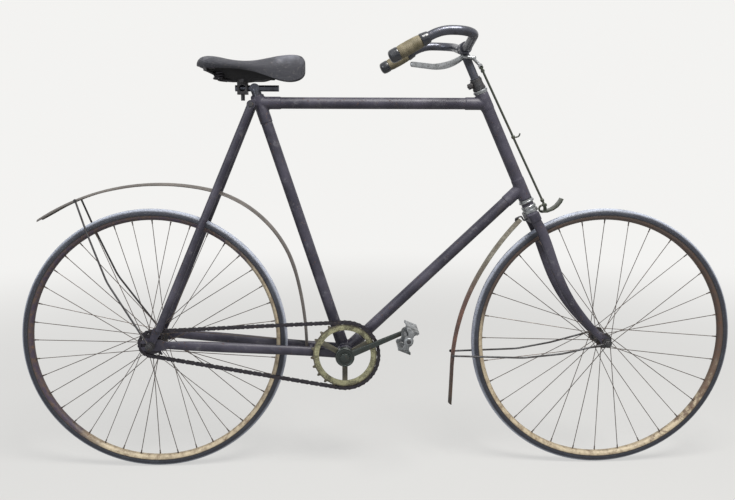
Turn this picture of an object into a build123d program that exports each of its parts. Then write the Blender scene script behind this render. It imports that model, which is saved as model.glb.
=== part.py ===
from build123d import *
import os
from math import acos, atan2, ceil, cos, degrees, hypot, pi, radians, sin, sqrt, tan

os.makedirs("parts", exist_ok=True)

# Layout in the side plane, in millimetres: x forward from the rear axle, z up from the ground
tyre_diameter = 700.0
tyre_section = 27.0
wheelbase = 1192.5
bottom_bracket_x = 502.6
bottom_bracket_height = 316.0
seat_angle = 71.7
head_angle = 65.7
fork_offset = 41.3
top_tube_height = 971.5
arm_rise = 36.5
saddle_rise = 71.0
saddle_setback = 57.74

# Frame tubes
main_tube_radius = 14.8
head_tube_radius = 15.9
head_tube_wall = 1.6
seat_stay_radius = 10.0
stay_height = 25.0
stay_width = 14.0
lug_wall = 1.2
socket_depth = 30.0
braze_gap = 0.15

# Distances along the steering axis, up from the foot of the front axle
head_tube_bottom = 429.5
down_tube_joint = 462.0
cup_height = 9.0
crown_top = 392.0
crown_depth = 20.0
upper_lug_rise = 28.4
cone_height = 8.7
collar_height = 21.0
stem_rise = 104.0
lower_lug_length = 58.0
upper_lug_length = 44.0
cup_flange = 3.0

# Widths across the machine, each measured from the middle plane
bracket_half_width = 34.0
dropout_inner = 55.0
dropout_thickness = 6.0
fork_tip_inner = 48.0
fork_tip_thickness = 6.0
crown_blade_spacing = 41.0
seat_stay_top_spacing = 27.0
chain_line = 44.0

# Running gear
axle_radius = 4.8
bracket_axle_radius = 8.6
crank_seat_radius = 8.0
chain_pitch = 25.4
ring_teeth = 22
sprocket_teeth = 8
tooth_thickness = 4.2
ring_tooth_phase = 4.0
chain_links = 55
crank_length = 172.0
crank_angle = 23.0
pedal_length = 92.0
pedal_angle = 68.0
running_gap = 0.35

# Wheels
front_spokes = 32
rear_spokes = 40
spoke_radius = 1.0
rim_inner_radius = 320.0
rim_width = 25.0

wheel_radius = tyre_diameter / 2
tyre_radius = tyre_section / 2
tyre_centre = wheel_radius - tyre_radius
head_sin = sin(radians(head_angle))
head_cos = cos(radians(head_angle))

# The seat pin's arm over the seat tube, and the rider's place behind it, the frame's origin
arm_height = top_tube_height + arm_rise
post_x = bottom_bracket_x - (arm_height - bottom_bracket_height) / tan(radians(seat_angle))
rider_x = post_x - saddle_setback
rider_height = arm_height + saddle_rise

# Upper head, measured up from where the top tube meets the steering axis
top_joint = (top_tube_height - wheel_radius + fork_offset * head_cos) / head_sin
head_tube_top = top_joint + upper_lug_rise
seat_gap = 0.3
cone_bottom = head_tube_top + cup_height + seat_gap
collar_bottom = cone_bottom + cone_height
lug_station = collar_bottom + stem_rise


def at(x, z, y=0.0):
    """A point of the machine, from its place over the ground to the frame at the saddle."""
    return Vector(x - rider_x, y, z - rider_height)


def side_plane(y=0.0):
    """A plane seen from the right: sketch x is forward from the rear axle, y is height."""
    return Plane(origin=at(0, 0, y), x_dir=(1, 0, 0), z_dir=(0, -1, 0))


def steer(along, ahead=0.0, y=0.0):
    """A point by its distance along the steering axis and ahead of it."""
    foot_x = wheelbase - fork_offset * head_sin
    foot_z = wheel_radius - fork_offset * head_cos
    x = foot_x - along * head_cos + ahead * head_sin
    z = foot_z + along * head_sin + ahead * head_cos
    return at(x, z, y)


steer_up = Vector(-head_cos, 0, head_sin)
steer_ahead = Vector(head_sin, 0, head_cos)


def steer_plane(along):
    """A plane square to the steering axis: sketch x is ahead, y is to the left."""
    return Plane(origin=steer(along), x_dir=steer_ahead, z_dir=steer_up)


def steer_side(y=0.0):
    """A plane seen from the right: sketch x is ahead of the steering axis, y along it."""
    return Plane(origin=steer(0, 0, y), x_dir=steer_ahead, z_dir=(0, -1, 0))


def axle_plane(x, z):
    """A revolve plane: sketch x is across the machine to the left, y is out from the axle."""
    return Plane(origin=at(x, z), x_dir=(0, 1, 0), z_dir=(1, 0, 0))


def rod(start, end, radius):
    """A round bar from one point to another, in the part being built."""
    with BuildSketch(Plane(origin=start, z_dir=end - start)) as section:
        Circle(radius)
    extrude(section.sketch, amount=(end - start).length)


def finish(part, name):
    part.label = name
    export_step(part, "parts/" + name + ".step")


bracket = at(bottom_bracket_x, bottom_bracket_height)
rear_axle = at(0, wheel_radius)
front_axle = at(wheelbase, wheel_radius)
seat_up = Vector(-cos(radians(seat_angle)), 0, sin(radians(seat_angle)))


def seat_line(height):
    """A point on the seat tube's axis at a height over the ground."""
    rise = height - bottom_bracket_height
    return at(bottom_bracket_x - rise / sin(radians(seat_angle)) * cos(radians(seat_angle)), height)


def head_line(height):
    """A point on the steering axis at a height over the ground."""
    foot_z = wheel_radius - fork_offset * head_cos
    return steer((height - foot_z) / head_sin)


seat_node = seat_line(top_tube_height)
top_head_node = head_line(top_tube_height)
down_head_node = steer(down_tube_joint)
down_direction = (down_head_node - bracket).normalized()
top_direction = (top_head_node - seat_node).normalized()
tube_inset = main_tube_radius + braze_gap

# The main tubes end inside their lugs, clear of the tube that each one meets
bracket_clear = 30.0
seat_clear = 24.0
end_clearance = 0.6
seat_lug_radius = main_tube_radius + lug_wall


def head_clear(direction):
    """How far from the steering axis a tube must end to stay outside the head tube."""
    slope = abs(direction.dot(steer_up))
    return (head_tube_radius + main_tube_radius * slope) / sqrt(1 - slope**2) + end_clearance


with BuildPart() as top_tube:
    start = seat_node + top_direction * seat_clear
    rod(start, top_head_node - top_direction * head_clear(top_direction), main_tube_radius)
finish(top_tube.part, "top_tube")

with BuildPart() as down_tube:
    start = bracket + down_direction * bracket_clear
    rod(start, down_head_node - down_direction * head_clear(down_direction), main_tube_radius)
finish(down_tube.part, "down_tube")

with BuildPart() as seat_tube:
    rod(bracket + seat_up * bracket_clear, seat_node - seat_up * seat_clear, main_tube_radius)
finish(seat_tube.part, "seat_tube")

# Head tube with its two lugs, open for the steerer
head_bore = head_tube_radius - head_tube_wall
with BuildPart() as head_tube:
    rod(steer(head_tube_bottom), steer(head_tube_top), head_tube_radius)
    rod(steer(head_tube_bottom), steer(head_tube_bottom + lower_lug_length), head_tube_radius + lug_wall)
    rod(steer(head_tube_top - upper_lug_length), steer(head_tube_top), head_tube_radius + lug_wall)
    for node, direction in ((top_head_node, top_direction), (down_head_node, down_direction)):
        rod(node, node - direction * (head_clear(direction) + socket_depth), main_tube_radius + lug_wall)
    for node, direction in ((top_head_node, top_direction), (down_head_node, down_direction)):
        first = node - direction * (head_clear(direction) - braze_gap)
        with BuildSketch(Plane(origin=first, z_dir=-direction)):
            Circle(tube_inset)
        extrude(amount=socket_depth + 10, mode=Mode.SUBTRACT)
    with BuildSketch(steer_plane(head_tube_bottom - 5)):
        Circle(head_bore)
    extrude(amount=head_tube_top - head_tube_bottom + 10, mode=Mode.SUBTRACT)
finish(head_tube.part, "head_tube")

# Ball cups pressed into both ends of the head tube
cup_radius = head_tube_radius + cup_flange
steerer_radius = 12.0
with BuildPart() as head_cups:
    for low, high in ((head_tube_bottom - cup_height, head_tube_bottom), (head_tube_top, head_tube_top + cup_height)):
        with BuildSketch(steer_plane(low)):
            Circle(cup_radius)
            Circle(steerer_radius + 0.8, mode=Mode.SUBTRACT)
        extrude(amount=high - low)
finish(head_cups.part, "head_cups")

# Seat lug: a socket for each tube and the split sleeve round the seat pin
pin_radius = 12.3
seat_lug_top = 20.0
lug_boss_radius = 10.0
lug_boss_reach = 16.0
with BuildPart() as seat_lug:
    rod(seat_node - seat_up * (seat_clear + socket_depth), seat_node + seat_up * seat_lug_top, seat_lug_radius)
    rod(seat_node, seat_node + top_direction * (seat_clear + socket_depth), seat_lug_radius)
    with BuildSketch(side_plane()):
        with Locations((seat_node.X + rider_x - 16, top_tube_height - 1)):
            Circle(lug_boss_radius)
    extrude(amount=lug_boss_reach, both=True)
    for direction in (-seat_up, top_direction):
        with BuildSketch(Plane(origin=seat_node + direction * (seat_clear - braze_gap), z_dir=direction)):
            Circle(tube_inset)
        extrude(amount=socket_depth + 10, mode=Mode.SUBTRACT)
    with BuildSketch(Plane(origin=seat_node - seat_up * (seat_clear + 1), z_dir=seat_up)):
        Circle(pin_radius + braze_gap)
    extrude(amount=seat_clear + seat_lug_top + 2, mode=Mode.SUBTRACT)
finish(seat_lug.part, "seat_lug")

# Bottom bracket shell with its four sockets and two bearing cups
shell_radius = 24.0
cup_bore = bracket_axle_radius + running_gap
stay_front_spacing = 31.0
stay_bend_x = bottom_bracket_x - 97
with BuildPart() as bottom_bracket:
    rod(bracket + Vector(0, bracket_half_width, 0), bracket - Vector(0, bracket_half_width, 0), shell_radius)
    for direction in (seat_up, down_direction):
        rod(bracket, bracket + direction * (bracket_clear + socket_depth), main_tube_radius + lug_wall)
    for direction in (seat_up, down_direction):
        with BuildSketch(Plane(origin=bracket + direction * (bracket_clear - braze_gap), z_dir=direction)):
            Circle(tube_inset)
        extrude(amount=socket_depth + 10, mode=Mode.SUBTRACT)
    with BuildSketch(Plane(origin=bracket, z_dir=(0, -1, 0))):
        Circle(cup_bore)
    extrude(amount=bracket_half_width + 5, both=True, mode=Mode.SUBTRACT)
finish(bottom_bracket.part, "bottom_bracket")

# Chain stays: oval tubes that run beside the tyre and flare to the slotted fork ends
stay_end_x = 38.0
stay_end_spacing = dropout_inner + dropout_thickness / 2
stay_start_x = bottom_bracket_x - shell_radius - seat_gap
axle_slot = axle_radius + 0.2
fork_end_outline = (
    (44, -10), (30, -14), (-20, -15), (-26, -7), (-26, -axle_slot), (0, -axle_slot),
    (0, axle_slot), (-26, axle_slot), (-26, 10), (-16, 18), (24, 14), (44, 6), (44, -10),
)
for side, y_sign in (("right", -1), ("left", 1)):
    with BuildPart() as chain_stay:
        sections = (
            (stay_start_x, bottom_bracket_height + 2.5, stay_front_spacing, stay_width, stay_height, 0.0),
            (stay_bend_x, bottom_bracket_height + 8.0, stay_front_spacing, stay_width, stay_height, -0.04),
            (stay_bend_x - 60, bottom_bracket_height + 12.5, stay_front_spacing + 4, stay_width, stay_height, -0.08),
            (stay_end_x + 24, wheel_radius - 1.5, stay_end_spacing - 1.5, 11.0, 22.0, -0.08),
            (stay_end_x, wheel_radius - 0.5, stay_end_spacing, dropout_thickness, 19.0, -0.05),
        )
        for x, z, spacing, width, height, flare in sections:
            heading = Vector(-1, -flare * y_sign, 0.068)
            with BuildSketch(Plane(origin=at(x, z, spacing * y_sign), x_dir=(0, 1, 0), z_dir=heading)):
                Ellipse(width / 2, height / 2)
        loft()
        with BuildSketch(side_plane(y_sign * dropout_inner)):
            with BuildLine():
                Polyline([(x, wheel_radius + rise) for x, rise in fork_end_outline])
            make_face()
        extrude(amount=-y_sign * dropout_thickness)
        with BuildSketch(Plane(origin=rear_axle, z_dir=(0, 1, 0))):
            Circle(axle_slot)
        extrude(amount=dropout_inner + dropout_thickness + 1, both=True, mode=Mode.SUBTRACT)
    finish(chain_stay.part, "chain_stay_" + side)

# Seat stays: round tubes bolted through the seat lug and on the rear axle
stay_top = seat_node + Vector(-19.5, 0, -4.5)
stay_foot = 38.0
stay_foot_x = 20.0
stay_boss_depth = 16.7
eye_thickness = 4.0
eye_inner = dropout_inner + dropout_thickness + 0.1
for side, y_sign in (("right", -1), ("left", 1)):
    with BuildPart() as seat_stay:
        upper = stay_top + Vector(0, y_sign * seat_stay_top_spacing, 0)
        lower = at(stay_foot_x, wheel_radius + stay_foot, y_sign * (eye_inner + eye_thickness / 2 - 3))
        rod(upper, lower, seat_stay_radius)
        with BuildSketch(side_plane(y_sign * (lug_boss_reach + seat_gap))):
            with Locations((stay_top.X + rider_x, stay_top.Z + rider_height)):
                Circle(seat_stay_radius + 1)
        extrude(amount=-y_sign * stay_boss_depth)
        with BuildSketch(side_plane(y_sign * eye_inner)):
            with BuildLine():
                Polyline((-9, wheel_radius), (8, wheel_radius + 46), (29, wheel_radius + stay_foot), (9, wheel_radius))
                ThreePointArc((9, wheel_radius), (0, wheel_radius - 9), (-9, wheel_radius))
            make_face()
        extrude(amount=-y_sign * eye_thickness)
        with BuildSketch(side_plane()):
            with Locations((0, wheel_radius)):
                Circle(axle_slot)
        extrude(amount=80, both=True, mode=Mode.SUBTRACT)
    finish(seat_stay.part, "seat_stay_" + side)

# Rear axle, its cones and the nuts outside the stay ends
nut_width = 10.0
nut_radius = 10.0
rear_axle_reach = eye_inner + eye_thickness + nut_width + 6
with BuildPart() as rear_spindle:
    with BuildSketch(Plane(origin=rear_axle, z_dir=(0, 1, 0))):
        Circle(axle_radius)
    extrude(amount=rear_axle_reach, both=True)
    for y_sign in (-1, 1):
        nut_face = eye_inner + eye_thickness + 0.1
        with BuildSketch(Plane(origin=rear_axle + Vector(0, y_sign * nut_face, 0), z_dir=(0, y_sign, 0))):
            RegularPolygon(nut_radius, 6)
        extrude(amount=nut_width)
        with BuildSketch(Plane(origin=rear_axle + Vector(0, y_sign * (dropout_inner - 0.1), 0), z_dir=(0, -y_sign, 0))):
            Circle(8)
        extrude(amount=3)
finish(rear_spindle.part, "rear_spindle")

# Seat pin: a post in the seat tube with a level arm on top that carries the saddle clip
arm_rear = post_x - 49.7
arm_front = post_x + 61.3
arm_radius = 8.0
post_top = seat_line(arm_height)
with BuildPart() as seat_pin:
    rod(seat_node - seat_up * (seat_clear - 1), post_top, pin_radius)
    rod(at(arm_rear, arm_height), at(arm_front, arm_height), arm_radius)
    with BuildSketch(side_plane()):
        with Locations((post_top.X + rider_x, arm_height)):
            Circle(pin_radius)
    extrude(amount=pin_radius - 1, both=True)
finish(seat_pin.part, "seat_pin")

# Saddle clip: a clamp round the arm with its bolt through the spring frame above
clip_x = post_x - 30.7
spring_spacing = 17.0
spring_height = arm_height + 20
spring_radius = 3.5
with BuildPart() as saddle_clip:
    with BuildSketch(side_plane()):
        with Locations((clip_x, arm_height + 6)):
            Rectangle(26, 44)
        with Locations((clip_x, arm_height)):
            Circle(arm_radius + seat_gap, mode=Mode.SUBTRACT)
    extrude(amount=13, both=True)
    with BuildSketch(Plane(origin=at(clip_x, spring_height), x_dir=(1, 0, 0), z_dir=(0, -1, 0))):
        Rectangle(20, 14)
    extrude(amount=spring_spacing + 8, both=True)
    with BuildSketch(Plane(origin=at(clip_x - 30, arm_height), z_dir=(1, 0, 0))):
        Circle(arm_radius + seat_gap)
    extrude(amount=60, mode=Mode.SUBTRACT)
    for y_sign in (-1, 1):
        with BuildSketch(Plane(origin=at(clip_x - 30, spring_height, y_sign * spring_spacing), z_dir=(1, 0, 0))):
            Circle(spring_radius + braze_gap)
        extrude(amount=60, mode=Mode.SUBTRACT)
    rod(at(clip_x, arm_height - 14), at(clip_x, arm_height - 31), 5)
finish(saddle_clip.part, "saddle_clip")

# Saddle leather: a stretched shell, wide at the back, with its sides turned down
saddle_sections = (
    # x ahead of the rider's place, half width, heights of the crest and the skirt's edge over the arm
    (-82.0, 60.0, 63.0, 50.0),
    (-62.0, 93.0, 77.0, 45.0),
    (-30.0, 104.0, 75.0, 42.0),
    (0.0, 92.0, 71.0, 40.0),
    (74.0, 44.0, 75.0, 28.0),
    (148.0, 30.0, 81.0, 20.0),
    (181.0, 24.0, 72.0, 32.0),
)
leather = 5.0


def saddle_section(x, half_width, crest, edge, inset):
    """One cross-section of the saddle: a crowned top and two straight skirts."""
    wide = half_width - inset
    top = crest - inset
    shoulder = top - (crest - edge) * 0.42
    with BuildSketch(Plane(origin=at(rider_x + x, arm_height), x_dir=(0, 1, 0), z_dir=(1, 0, 0))) as section:
        with BuildLine():
            Line((-wide, edge - inset), (-wide, shoulder))
            ThreePointArc((-wide, shoulder), (0, top), (wide, shoulder))
            Line((wide, shoulder), (wide, edge - inset))
            Line((wide, edge - inset), (-wide, edge - inset))
        make_face()
    return section.sketch


def hollow_sections(inset):
    """The space inside the leather, closed at the rear and the nose by its thickness."""
    closed = {saddle_sections[0][0]: leather, saddle_sections[-1][0]: -leather}
    return [
        saddle_section(x + closed.get(x, 0.0), half_width, crest, edge, inset)
        for x, half_width, crest, edge in saddle_sections
    ]


with BuildPart() as saddle:
    loft([saddle_section(x, half_width, crest, edge, 0.0) for x, half_width, crest, edge in saddle_sections])
    loft(hollow_sections(leather), mode=Mode.SUBTRACT)
finish(saddle.part, "saddle")

# Spring frame: two wires from the rear plate under the leather to its nose
plate_rear_x = rider_x - 56
plate_nose_x = rider_x + 162
with BuildPart() as saddle_frame:
    for x, rise, half_width in ((plate_rear_x, 37.0, 75.0), (plate_nose_x, 44.0, 13.0)):
        with BuildSketch(Plane(origin=at(x, arm_height + rise), x_dir=(0, 1, 0), z_dir=(1, 0, 0))):
            with Locations((0, 30)):
                Rectangle(2 * half_width, 60)
        extrude(amount=4, both=True)
    loft(hollow_sections(leather + seat_gap), mode=Mode.INTERSECT)
    for y_sign in (-1, 1):
        with BuildLine() as wire_path:
            FilletPolyline(
                at(plate_rear_x, arm_height + 42, y_sign * 62),
                at(clip_x - 38, spring_height, y_sign * spring_spacing),
                at(clip_x + 57, spring_height, y_sign * spring_spacing),
                at(plate_nose_x - 2, arm_height + 48, y_sign * 9),
                radius=[30, 60],
            )
        with BuildSketch(Plane(origin=wire_path.line @ 0, z_dir=wire_path.line % 0)):
            Circle(spring_radius)
        sweep(path=wire_path.line)
finish(saddle_frame.part, "saddle_frame")


# Mudguards: thin crowned strips, each on one side plane curve of arcs
guard_width = 44.0
guard_crown = 5.0
guard_thickness = 1.6


def guard_section(path, inward):
    """The crowned strip's section at the start of its path, its edges turned to the wheel."""
    half = guard_width / 2
    edge = inward * guard_crown
    inner = inward * guard_thickness
    start = path @ 0
    heading = path % 0
    with BuildSketch(Plane(origin=start, x_dir=(0, 1, 0), z_dir=heading)) as section:
        with BuildLine():
            ThreePointArc((-half, edge), (0, 0), (half, edge))
            Line((half, edge), (half, edge + inner))
            ThreePointArc((half, edge + inner), (0, inner), (-half, edge + inner))
            Line((-half, edge + inner), (-half, edge))
        make_face()
    return section.sketch


def arc_path(place, heading, arcs):
    """Arcs tangent to each other, each given by its radius and the degrees that it turns."""
    for radius, turn in arcs:
        start = heading - 90 if turn > 0 else heading + 90
        centre = place - Vector(cos(radians(start)), 0, sin(radians(start))) * radius
        angles = [radians(start + turn * share) for share in (0.0, 0.5, 1.0)]
        points = [centre + Vector(cos(angle), 0, sin(angle)) * radius for angle in angles]
        ThreePointArc(*points)
        place = points[-1]
        heading += turn


with BuildPart() as rear_mudguard:
    with BuildLine() as rear_guard_path:
        arc_path(rear_axle + Vector(405, 0, -36), 89.8, ((847.7, 15.1), (304.7, 63.5), (584.3, 44.5)))
    sweep(guard_section(rear_guard_path.line, 1), path=rear_guard_path.line)
finish(rear_mudguard.part, "rear_mudguard")

with BuildPart() as front_mudguard:
    with BuildLine() as guard_path:
        arc_path(front_axle + Vector(-409.1, 0, -179.5), 87.6, ((10000.0, 0.62), (551.2, -25.8), (702.9, -15.8)))
    sweep(guard_section(guard_path.line, -1), path=guard_path.line)
finish(front_mudguard.part, "front_mudguard")

# Two short tubes between the stays carry the rear mudguard from outside
lower_bridge_radius = 6.0
upper_bridge_radius = 5.0
bridge_rise = 9.0
upper = stay_top + Vector(0, seat_stay_top_spacing, 0)
lower = at(stay_foot_x, wheel_radius + stay_foot, eye_inner + eye_thickness / 2 - 3)


def stay_side(share):
    """How far ahead of the seat stays' line a point of the mudguard's path lies."""
    point = rear_guard_path.line @ share
    return (point - stay_top).cross(lower - upper).Y


below, above = 0.2, 0.8
for step in range(40):
    middle = (below + above) / 2
    if (stay_side(middle) > 0) == (stay_side(below) > 0):
        below = middle
    else:
        above = middle
guard_point = rear_guard_path.line @ below
guard_normal = (rear_guard_path.line % below).cross(Vector(0, 1, 0))
stay_slope = Vector(upper.X - lower.X, 0, upper.Z - lower.Z).normalized()
lift = (upper_bridge_radius + seat_gap) / abs(stay_slope.dot(guard_normal))
upper_bridge = guard_point + stay_slope * lift
stay_share = (upper.Z - upper_bridge.Z) / (upper.Z - lower.Z)
stay_spacing = upper.Y + (lower.Y - upper.Y) * stay_share
guard_length = sum(edge.length for edge in rear_guard_path.edges())
guard_foot = rear_guard_path.line @ (bridge_rise / guard_length)
lower_bridge = guard_foot + Vector(lower_bridge_radius + seat_gap, 0, 0)
with BuildPart() as stay_bridges:
    for point, reach, radius in (
        (lower_bridge, stay_front_spacing - stay_width / 2 - 2 * seat_gap, lower_bridge_radius),
        (upper_bridge, stay_spacing - seat_stay_radius - seat_gap, upper_bridge_radius),
    ):
        rod(point + Vector(0, reach, 0), point - Vector(0, reach, 0), radius)
finish(stay_bridges.part, "stay_bridges")

# Mudguard stays of round wire from the axle ends, a little bent by use
wire_radius = 2.5
wire_bend = 150.0


def guard_stay(axle, y_sign, route):
    """A bent wire through points given as ahead of the axle, above it, and from the middle."""
    points = [axle + Vector(ahead, y_sign * spacing, above) for ahead, above, spacing in route]
    with BuildLine() as wire_path:
        FilletPolyline(*points, radius=wire_bend)
    with BuildSketch(Plane(origin=points[0], z_dir=points[1] - points[0])) as section:
        Circle(wire_radius)
    sweep(section.sketch, path=wire_path.line)


guard_edge = guard_width / 2 + 3
with BuildPart() as rear_guard_stays:
    for y_sign in (-1, 1):
        outer = eye_inner + eye_thickness + nut_width + 3.3
        guard_stay(rear_axle, y_sign, ((-187, 373, guard_edge), (-159, 293, 36), (-108, 165, 53), (-6, 10, outer)))
        with BuildSketch(side_plane(y_sign * (outer - 2.5))):
            with Locations((0, wheel_radius)):
                Circle(11)
                Circle(axle_radius + braze_gap, mode=Mode.SUBTRACT)
        extrude(amount=-y_sign * 5)
finish(rear_guard_stays.part, "rear_guard_stays")

# Rear and front wheels are built alike from their own sizes
with BuildPart() as rear_tyre:
    with BuildSketch(axle_plane(0, wheel_radius)):
        with Locations((0, tyre_centre)):
            Circle(tyre_radius)
    revolve(axis=Axis(rear_axle, (0, 1, 0)))
finish(rear_tyre.part, "rear_tyre")

with BuildPart() as front_tyre:
    with BuildSketch(axle_plane(wheelbase, wheel_radius)):
        with Locations((0, tyre_centre)):
            Circle(tyre_radius)
    revolve(axis=Axis(front_axle, (0, 1, 0)))
finish(front_tyre.part, "front_tyre")

rim_edge = rim_width / 2
rim_seat = tyre_radius + seat_gap
rim_edge_radius = tyre_centre - sqrt(rim_seat**2 - rim_edge**2)
for name, hub in (("rear_rim", rear_axle), ("front_rim", front_axle)):
    with BuildPart() as rim:
        with BuildSketch(Plane(origin=hub, x_dir=(0, 1, 0), z_dir=(1, 0, 0))):
            with BuildLine():
                ThreePointArc((-rim_edge, rim_edge_radius), (0, tyre_centre - rim_seat), (rim_edge, rim_edge_radius))
                Line((rim_edge, rim_edge_radius), (rim_edge, rim_edge_radius - 2))
                ThreePointArc((rim_edge, rim_edge_radius - 2), (0, rim_inner_radius), (-rim_edge, rim_edge_radius - 2))
                Line((-rim_edge, rim_edge_radius - 2), (-rim_edge, rim_edge_radius))
            make_face()
        revolve(axis=Axis(hub, (0, 1, 0)))
    finish(rim.part, name)

# Hubs: turned barrels with a flange at each end, running on the fixed spindles
hub_bore = axle_radius + running_gap
flange_width = 4.0
front_flange = 34.0
rear_flange_left = 36.0
rear_flange_right = 30.0
hub_table = (
    # name, hub point, left flange, right flange, left end, right end, flange radius
    ("front_hub", front_axle, front_flange, front_flange, 43.0, 43.0, 21.0),
    ("rear_hub", rear_axle, rear_flange_left, rear_flange_right, 50.0, 40.0, 25.0),
)
barrel_radius = 14.0
for name, hub, left, right, left_end, right_end, flange_radius in hub_table:
    with BuildPart() as hub_part:
        with BuildSketch(Plane(origin=hub, x_dir=(0, 1, 0), z_dir=(1, 0, 0))):
            with BuildLine():
                Polyline(
                    (-right_end, hub_bore), (-right_end, barrel_radius), (-right - flange_width / 2, barrel_radius),
                    (-right - flange_width / 2, flange_radius), (-right + flange_width / 2, flange_radius),
                    (-right + flange_width / 2, barrel_radius), (left - flange_width / 2, barrel_radius),
                    (left - flange_width / 2, flange_radius), (left + flange_width / 2, flange_radius),
                    (left + flange_width / 2, barrel_radius), (left_end, barrel_radius), (left_end, hub_bore),
                    (-right_end, hub_bore),
                )
            make_face()
        revolve(axis=Axis(hub, (0, 1, 0)))
    finish(hub_part.part, name)

# Spokes: straight wires laced tangent to the hub, three crossings each
spoke_table = (
    # name, hub point, spokes, left flange, right flange, flange radius
    ("front_spokes", front_axle, front_spokes, front_flange, front_flange, 21.0),
    ("rear_spokes", rear_axle, rear_spokes, rear_flange_left, rear_flange_right, 25.0),
)
spoke_crossings = 3
rim_spoke_end = rim_inner_radius - seat_gap
for name, hub, count, left, right, flange_radius in spoke_table:
    with BuildPart() as spokes:
        step = 2 * pi / count
        for index in range(count):
            y_sign = 1 if index % 2 == 0 else -1
            flange_y = left if y_sign == 1 else -right
            lean = 1 if (index // 2) % 2 == 0 else -1
            rim_angle = index * step
            hub_angle = rim_angle + lean * spoke_crossings * 2 * step
            inner = flange_radius + seat_gap + spoke_radius
            hub_y = flange_y + lean * 1.4
            start = hub + Vector(inner * cos(hub_angle), hub_y, inner * sin(hub_angle))
            end = hub + Vector(rim_spoke_end * cos(rim_angle), y_sign * 3, rim_spoke_end * sin(rim_angle))
            with BuildSketch(Plane(origin=start, z_dir=end - start)):
                RegularPolygon(spoke_radius, 6)
            extrude(amount=(end - start).length)
    finish(spokes.part, name)


# Chain and sprockets: block chain of one inch pitch
def pitch_radius(teeth):
    return chain_pitch / 2 / sin(pi / teeth)


tooth_height = 5.2
tooth_depth = 5.0
block_half_height = 4.4
block_half_length = 0.27 * chain_pitch
block_clearance = 5.0


def tooth_outline(teeth, phase, centre):
    """A closed outline with pointed teeth and wide flat seats for the blocks."""
    radius = pitch_radius(teeth)
    root = radius - tooth_depth
    crest = radius + tooth_height
    step = 360 / teeth
    base = degrees(4.6 / radius)
    tip = degrees(1.6 / radius)
    points = []
    for index in range(teeth):
        middle = phase + index * step
        for turn, reach in ((-base, root), (-tip, crest), (tip, crest), (base, root)):
            angle = radians(middle + turn)
            points.append((centre[0] + reach * cos(angle), centre[1] + reach * sin(angle)))
    points.append(points[0])
    Polyline(*points)


def teeth_reach(teeth):
    """How many pitches past its contact point a run stays too close to the teeth for a block."""
    radius = pitch_radius(teeth)
    along = sqrt((radius + tooth_height) ** 2 - (radius - block_half_height) ** 2)
    return (along + block_half_length + block_clearance) / chain_pitch


ring_radius = pitch_radius(ring_teeth)
sprocket_radius = pitch_radius(sprocket_teeth)
centres = hypot(bottom_bracket_x, wheel_radius - bottom_bracket_height)
run_length = sqrt(centres**2 - (ring_radius - sprocket_radius) ** 2)
back_angle = degrees(atan2(wheel_radius - bottom_bracket_height, -bottom_bracket_x))
contact_angle = degrees(acos((ring_radius - sprocket_radius) / centres))
upper_contact = back_angle - contact_angle
lower_contact = back_angle + contact_angle
ring_wrap = 360 - 2 * contact_angle
sprocket_wrap = 2 * contact_angle
ring_pitches = ring_wrap / 360 * ring_teeth
sprocket_pitches = sprocket_wrap / 360 * sprocket_teeth
run_pitches = (chain_links - ring_pitches - sprocket_pitches) / 2
first_tooth = ring_tooth_phase + 360 / ring_teeth * ceil((upper_contact - ring_tooth_phase) / 360 * ring_teeth - 1)
first_pitch = (upper_contact - first_tooth) / 360 * ring_teeth
lower_start = ring_pitches
sprocket_start = ring_pitches + run_pitches
upper_start = sprocket_start + sprocket_pitches


def circle_point(x, z, radius, angle):
    return (x + radius * cos(radians(angle)), z + radius * sin(radians(angle)))


def chain_point(pitches, offset=0.0):
    """A point of the chain loop, so many pitches on from the ring's upper contact."""
    place = pitches % chain_links
    if place < lower_start:
        angle = upper_contact - place * 360 / ring_teeth
        return circle_point(bottom_bracket_x, bottom_bracket_height, ring_radius + offset, angle)
    if sprocket_start <= place < upper_start:
        angle = lower_contact - (place - sprocket_start) * 360 / sprocket_teeth
        return circle_point(0, wheel_radius, sprocket_radius + offset, angle)
    on_lower = place < sprocket_start
    angle = lower_contact if on_lower else upper_contact
    share = (place - (lower_start if on_lower else upper_start)) / run_pitches
    ring_end = circle_point(bottom_bracket_x, bottom_bracket_height, ring_radius + offset, angle)
    sprocket_end = circle_point(0, wheel_radius, sprocket_radius + offset, angle)
    start, end = (ring_end, sprocket_end) if on_lower else (sprocket_end, ring_end)
    return (start[0] + (end[0] - start[0]) * share, start[1] + (end[1] - start[1]) * share)


sprocket_index = ceil(sprocket_start - first_pitch)
sprocket_phase = lower_contact - (sprocket_index + first_pitch - sprocket_start) * 360 / sprocket_teeth

with BuildPart() as rear_sprocket:
    with BuildSketch(side_plane(-chain_line + tooth_thickness / 2)):
        with BuildLine():
            tooth_outline(sprocket_teeth, sprocket_phase, (0, wheel_radius))
        make_face()
        with Locations((0, wheel_radius)):
            Circle(hub_bore, mode=Mode.SUBTRACT)
    extrude(amount=tooth_thickness)
finish(rear_sprocket.part, "rear_sprocket")

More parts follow.
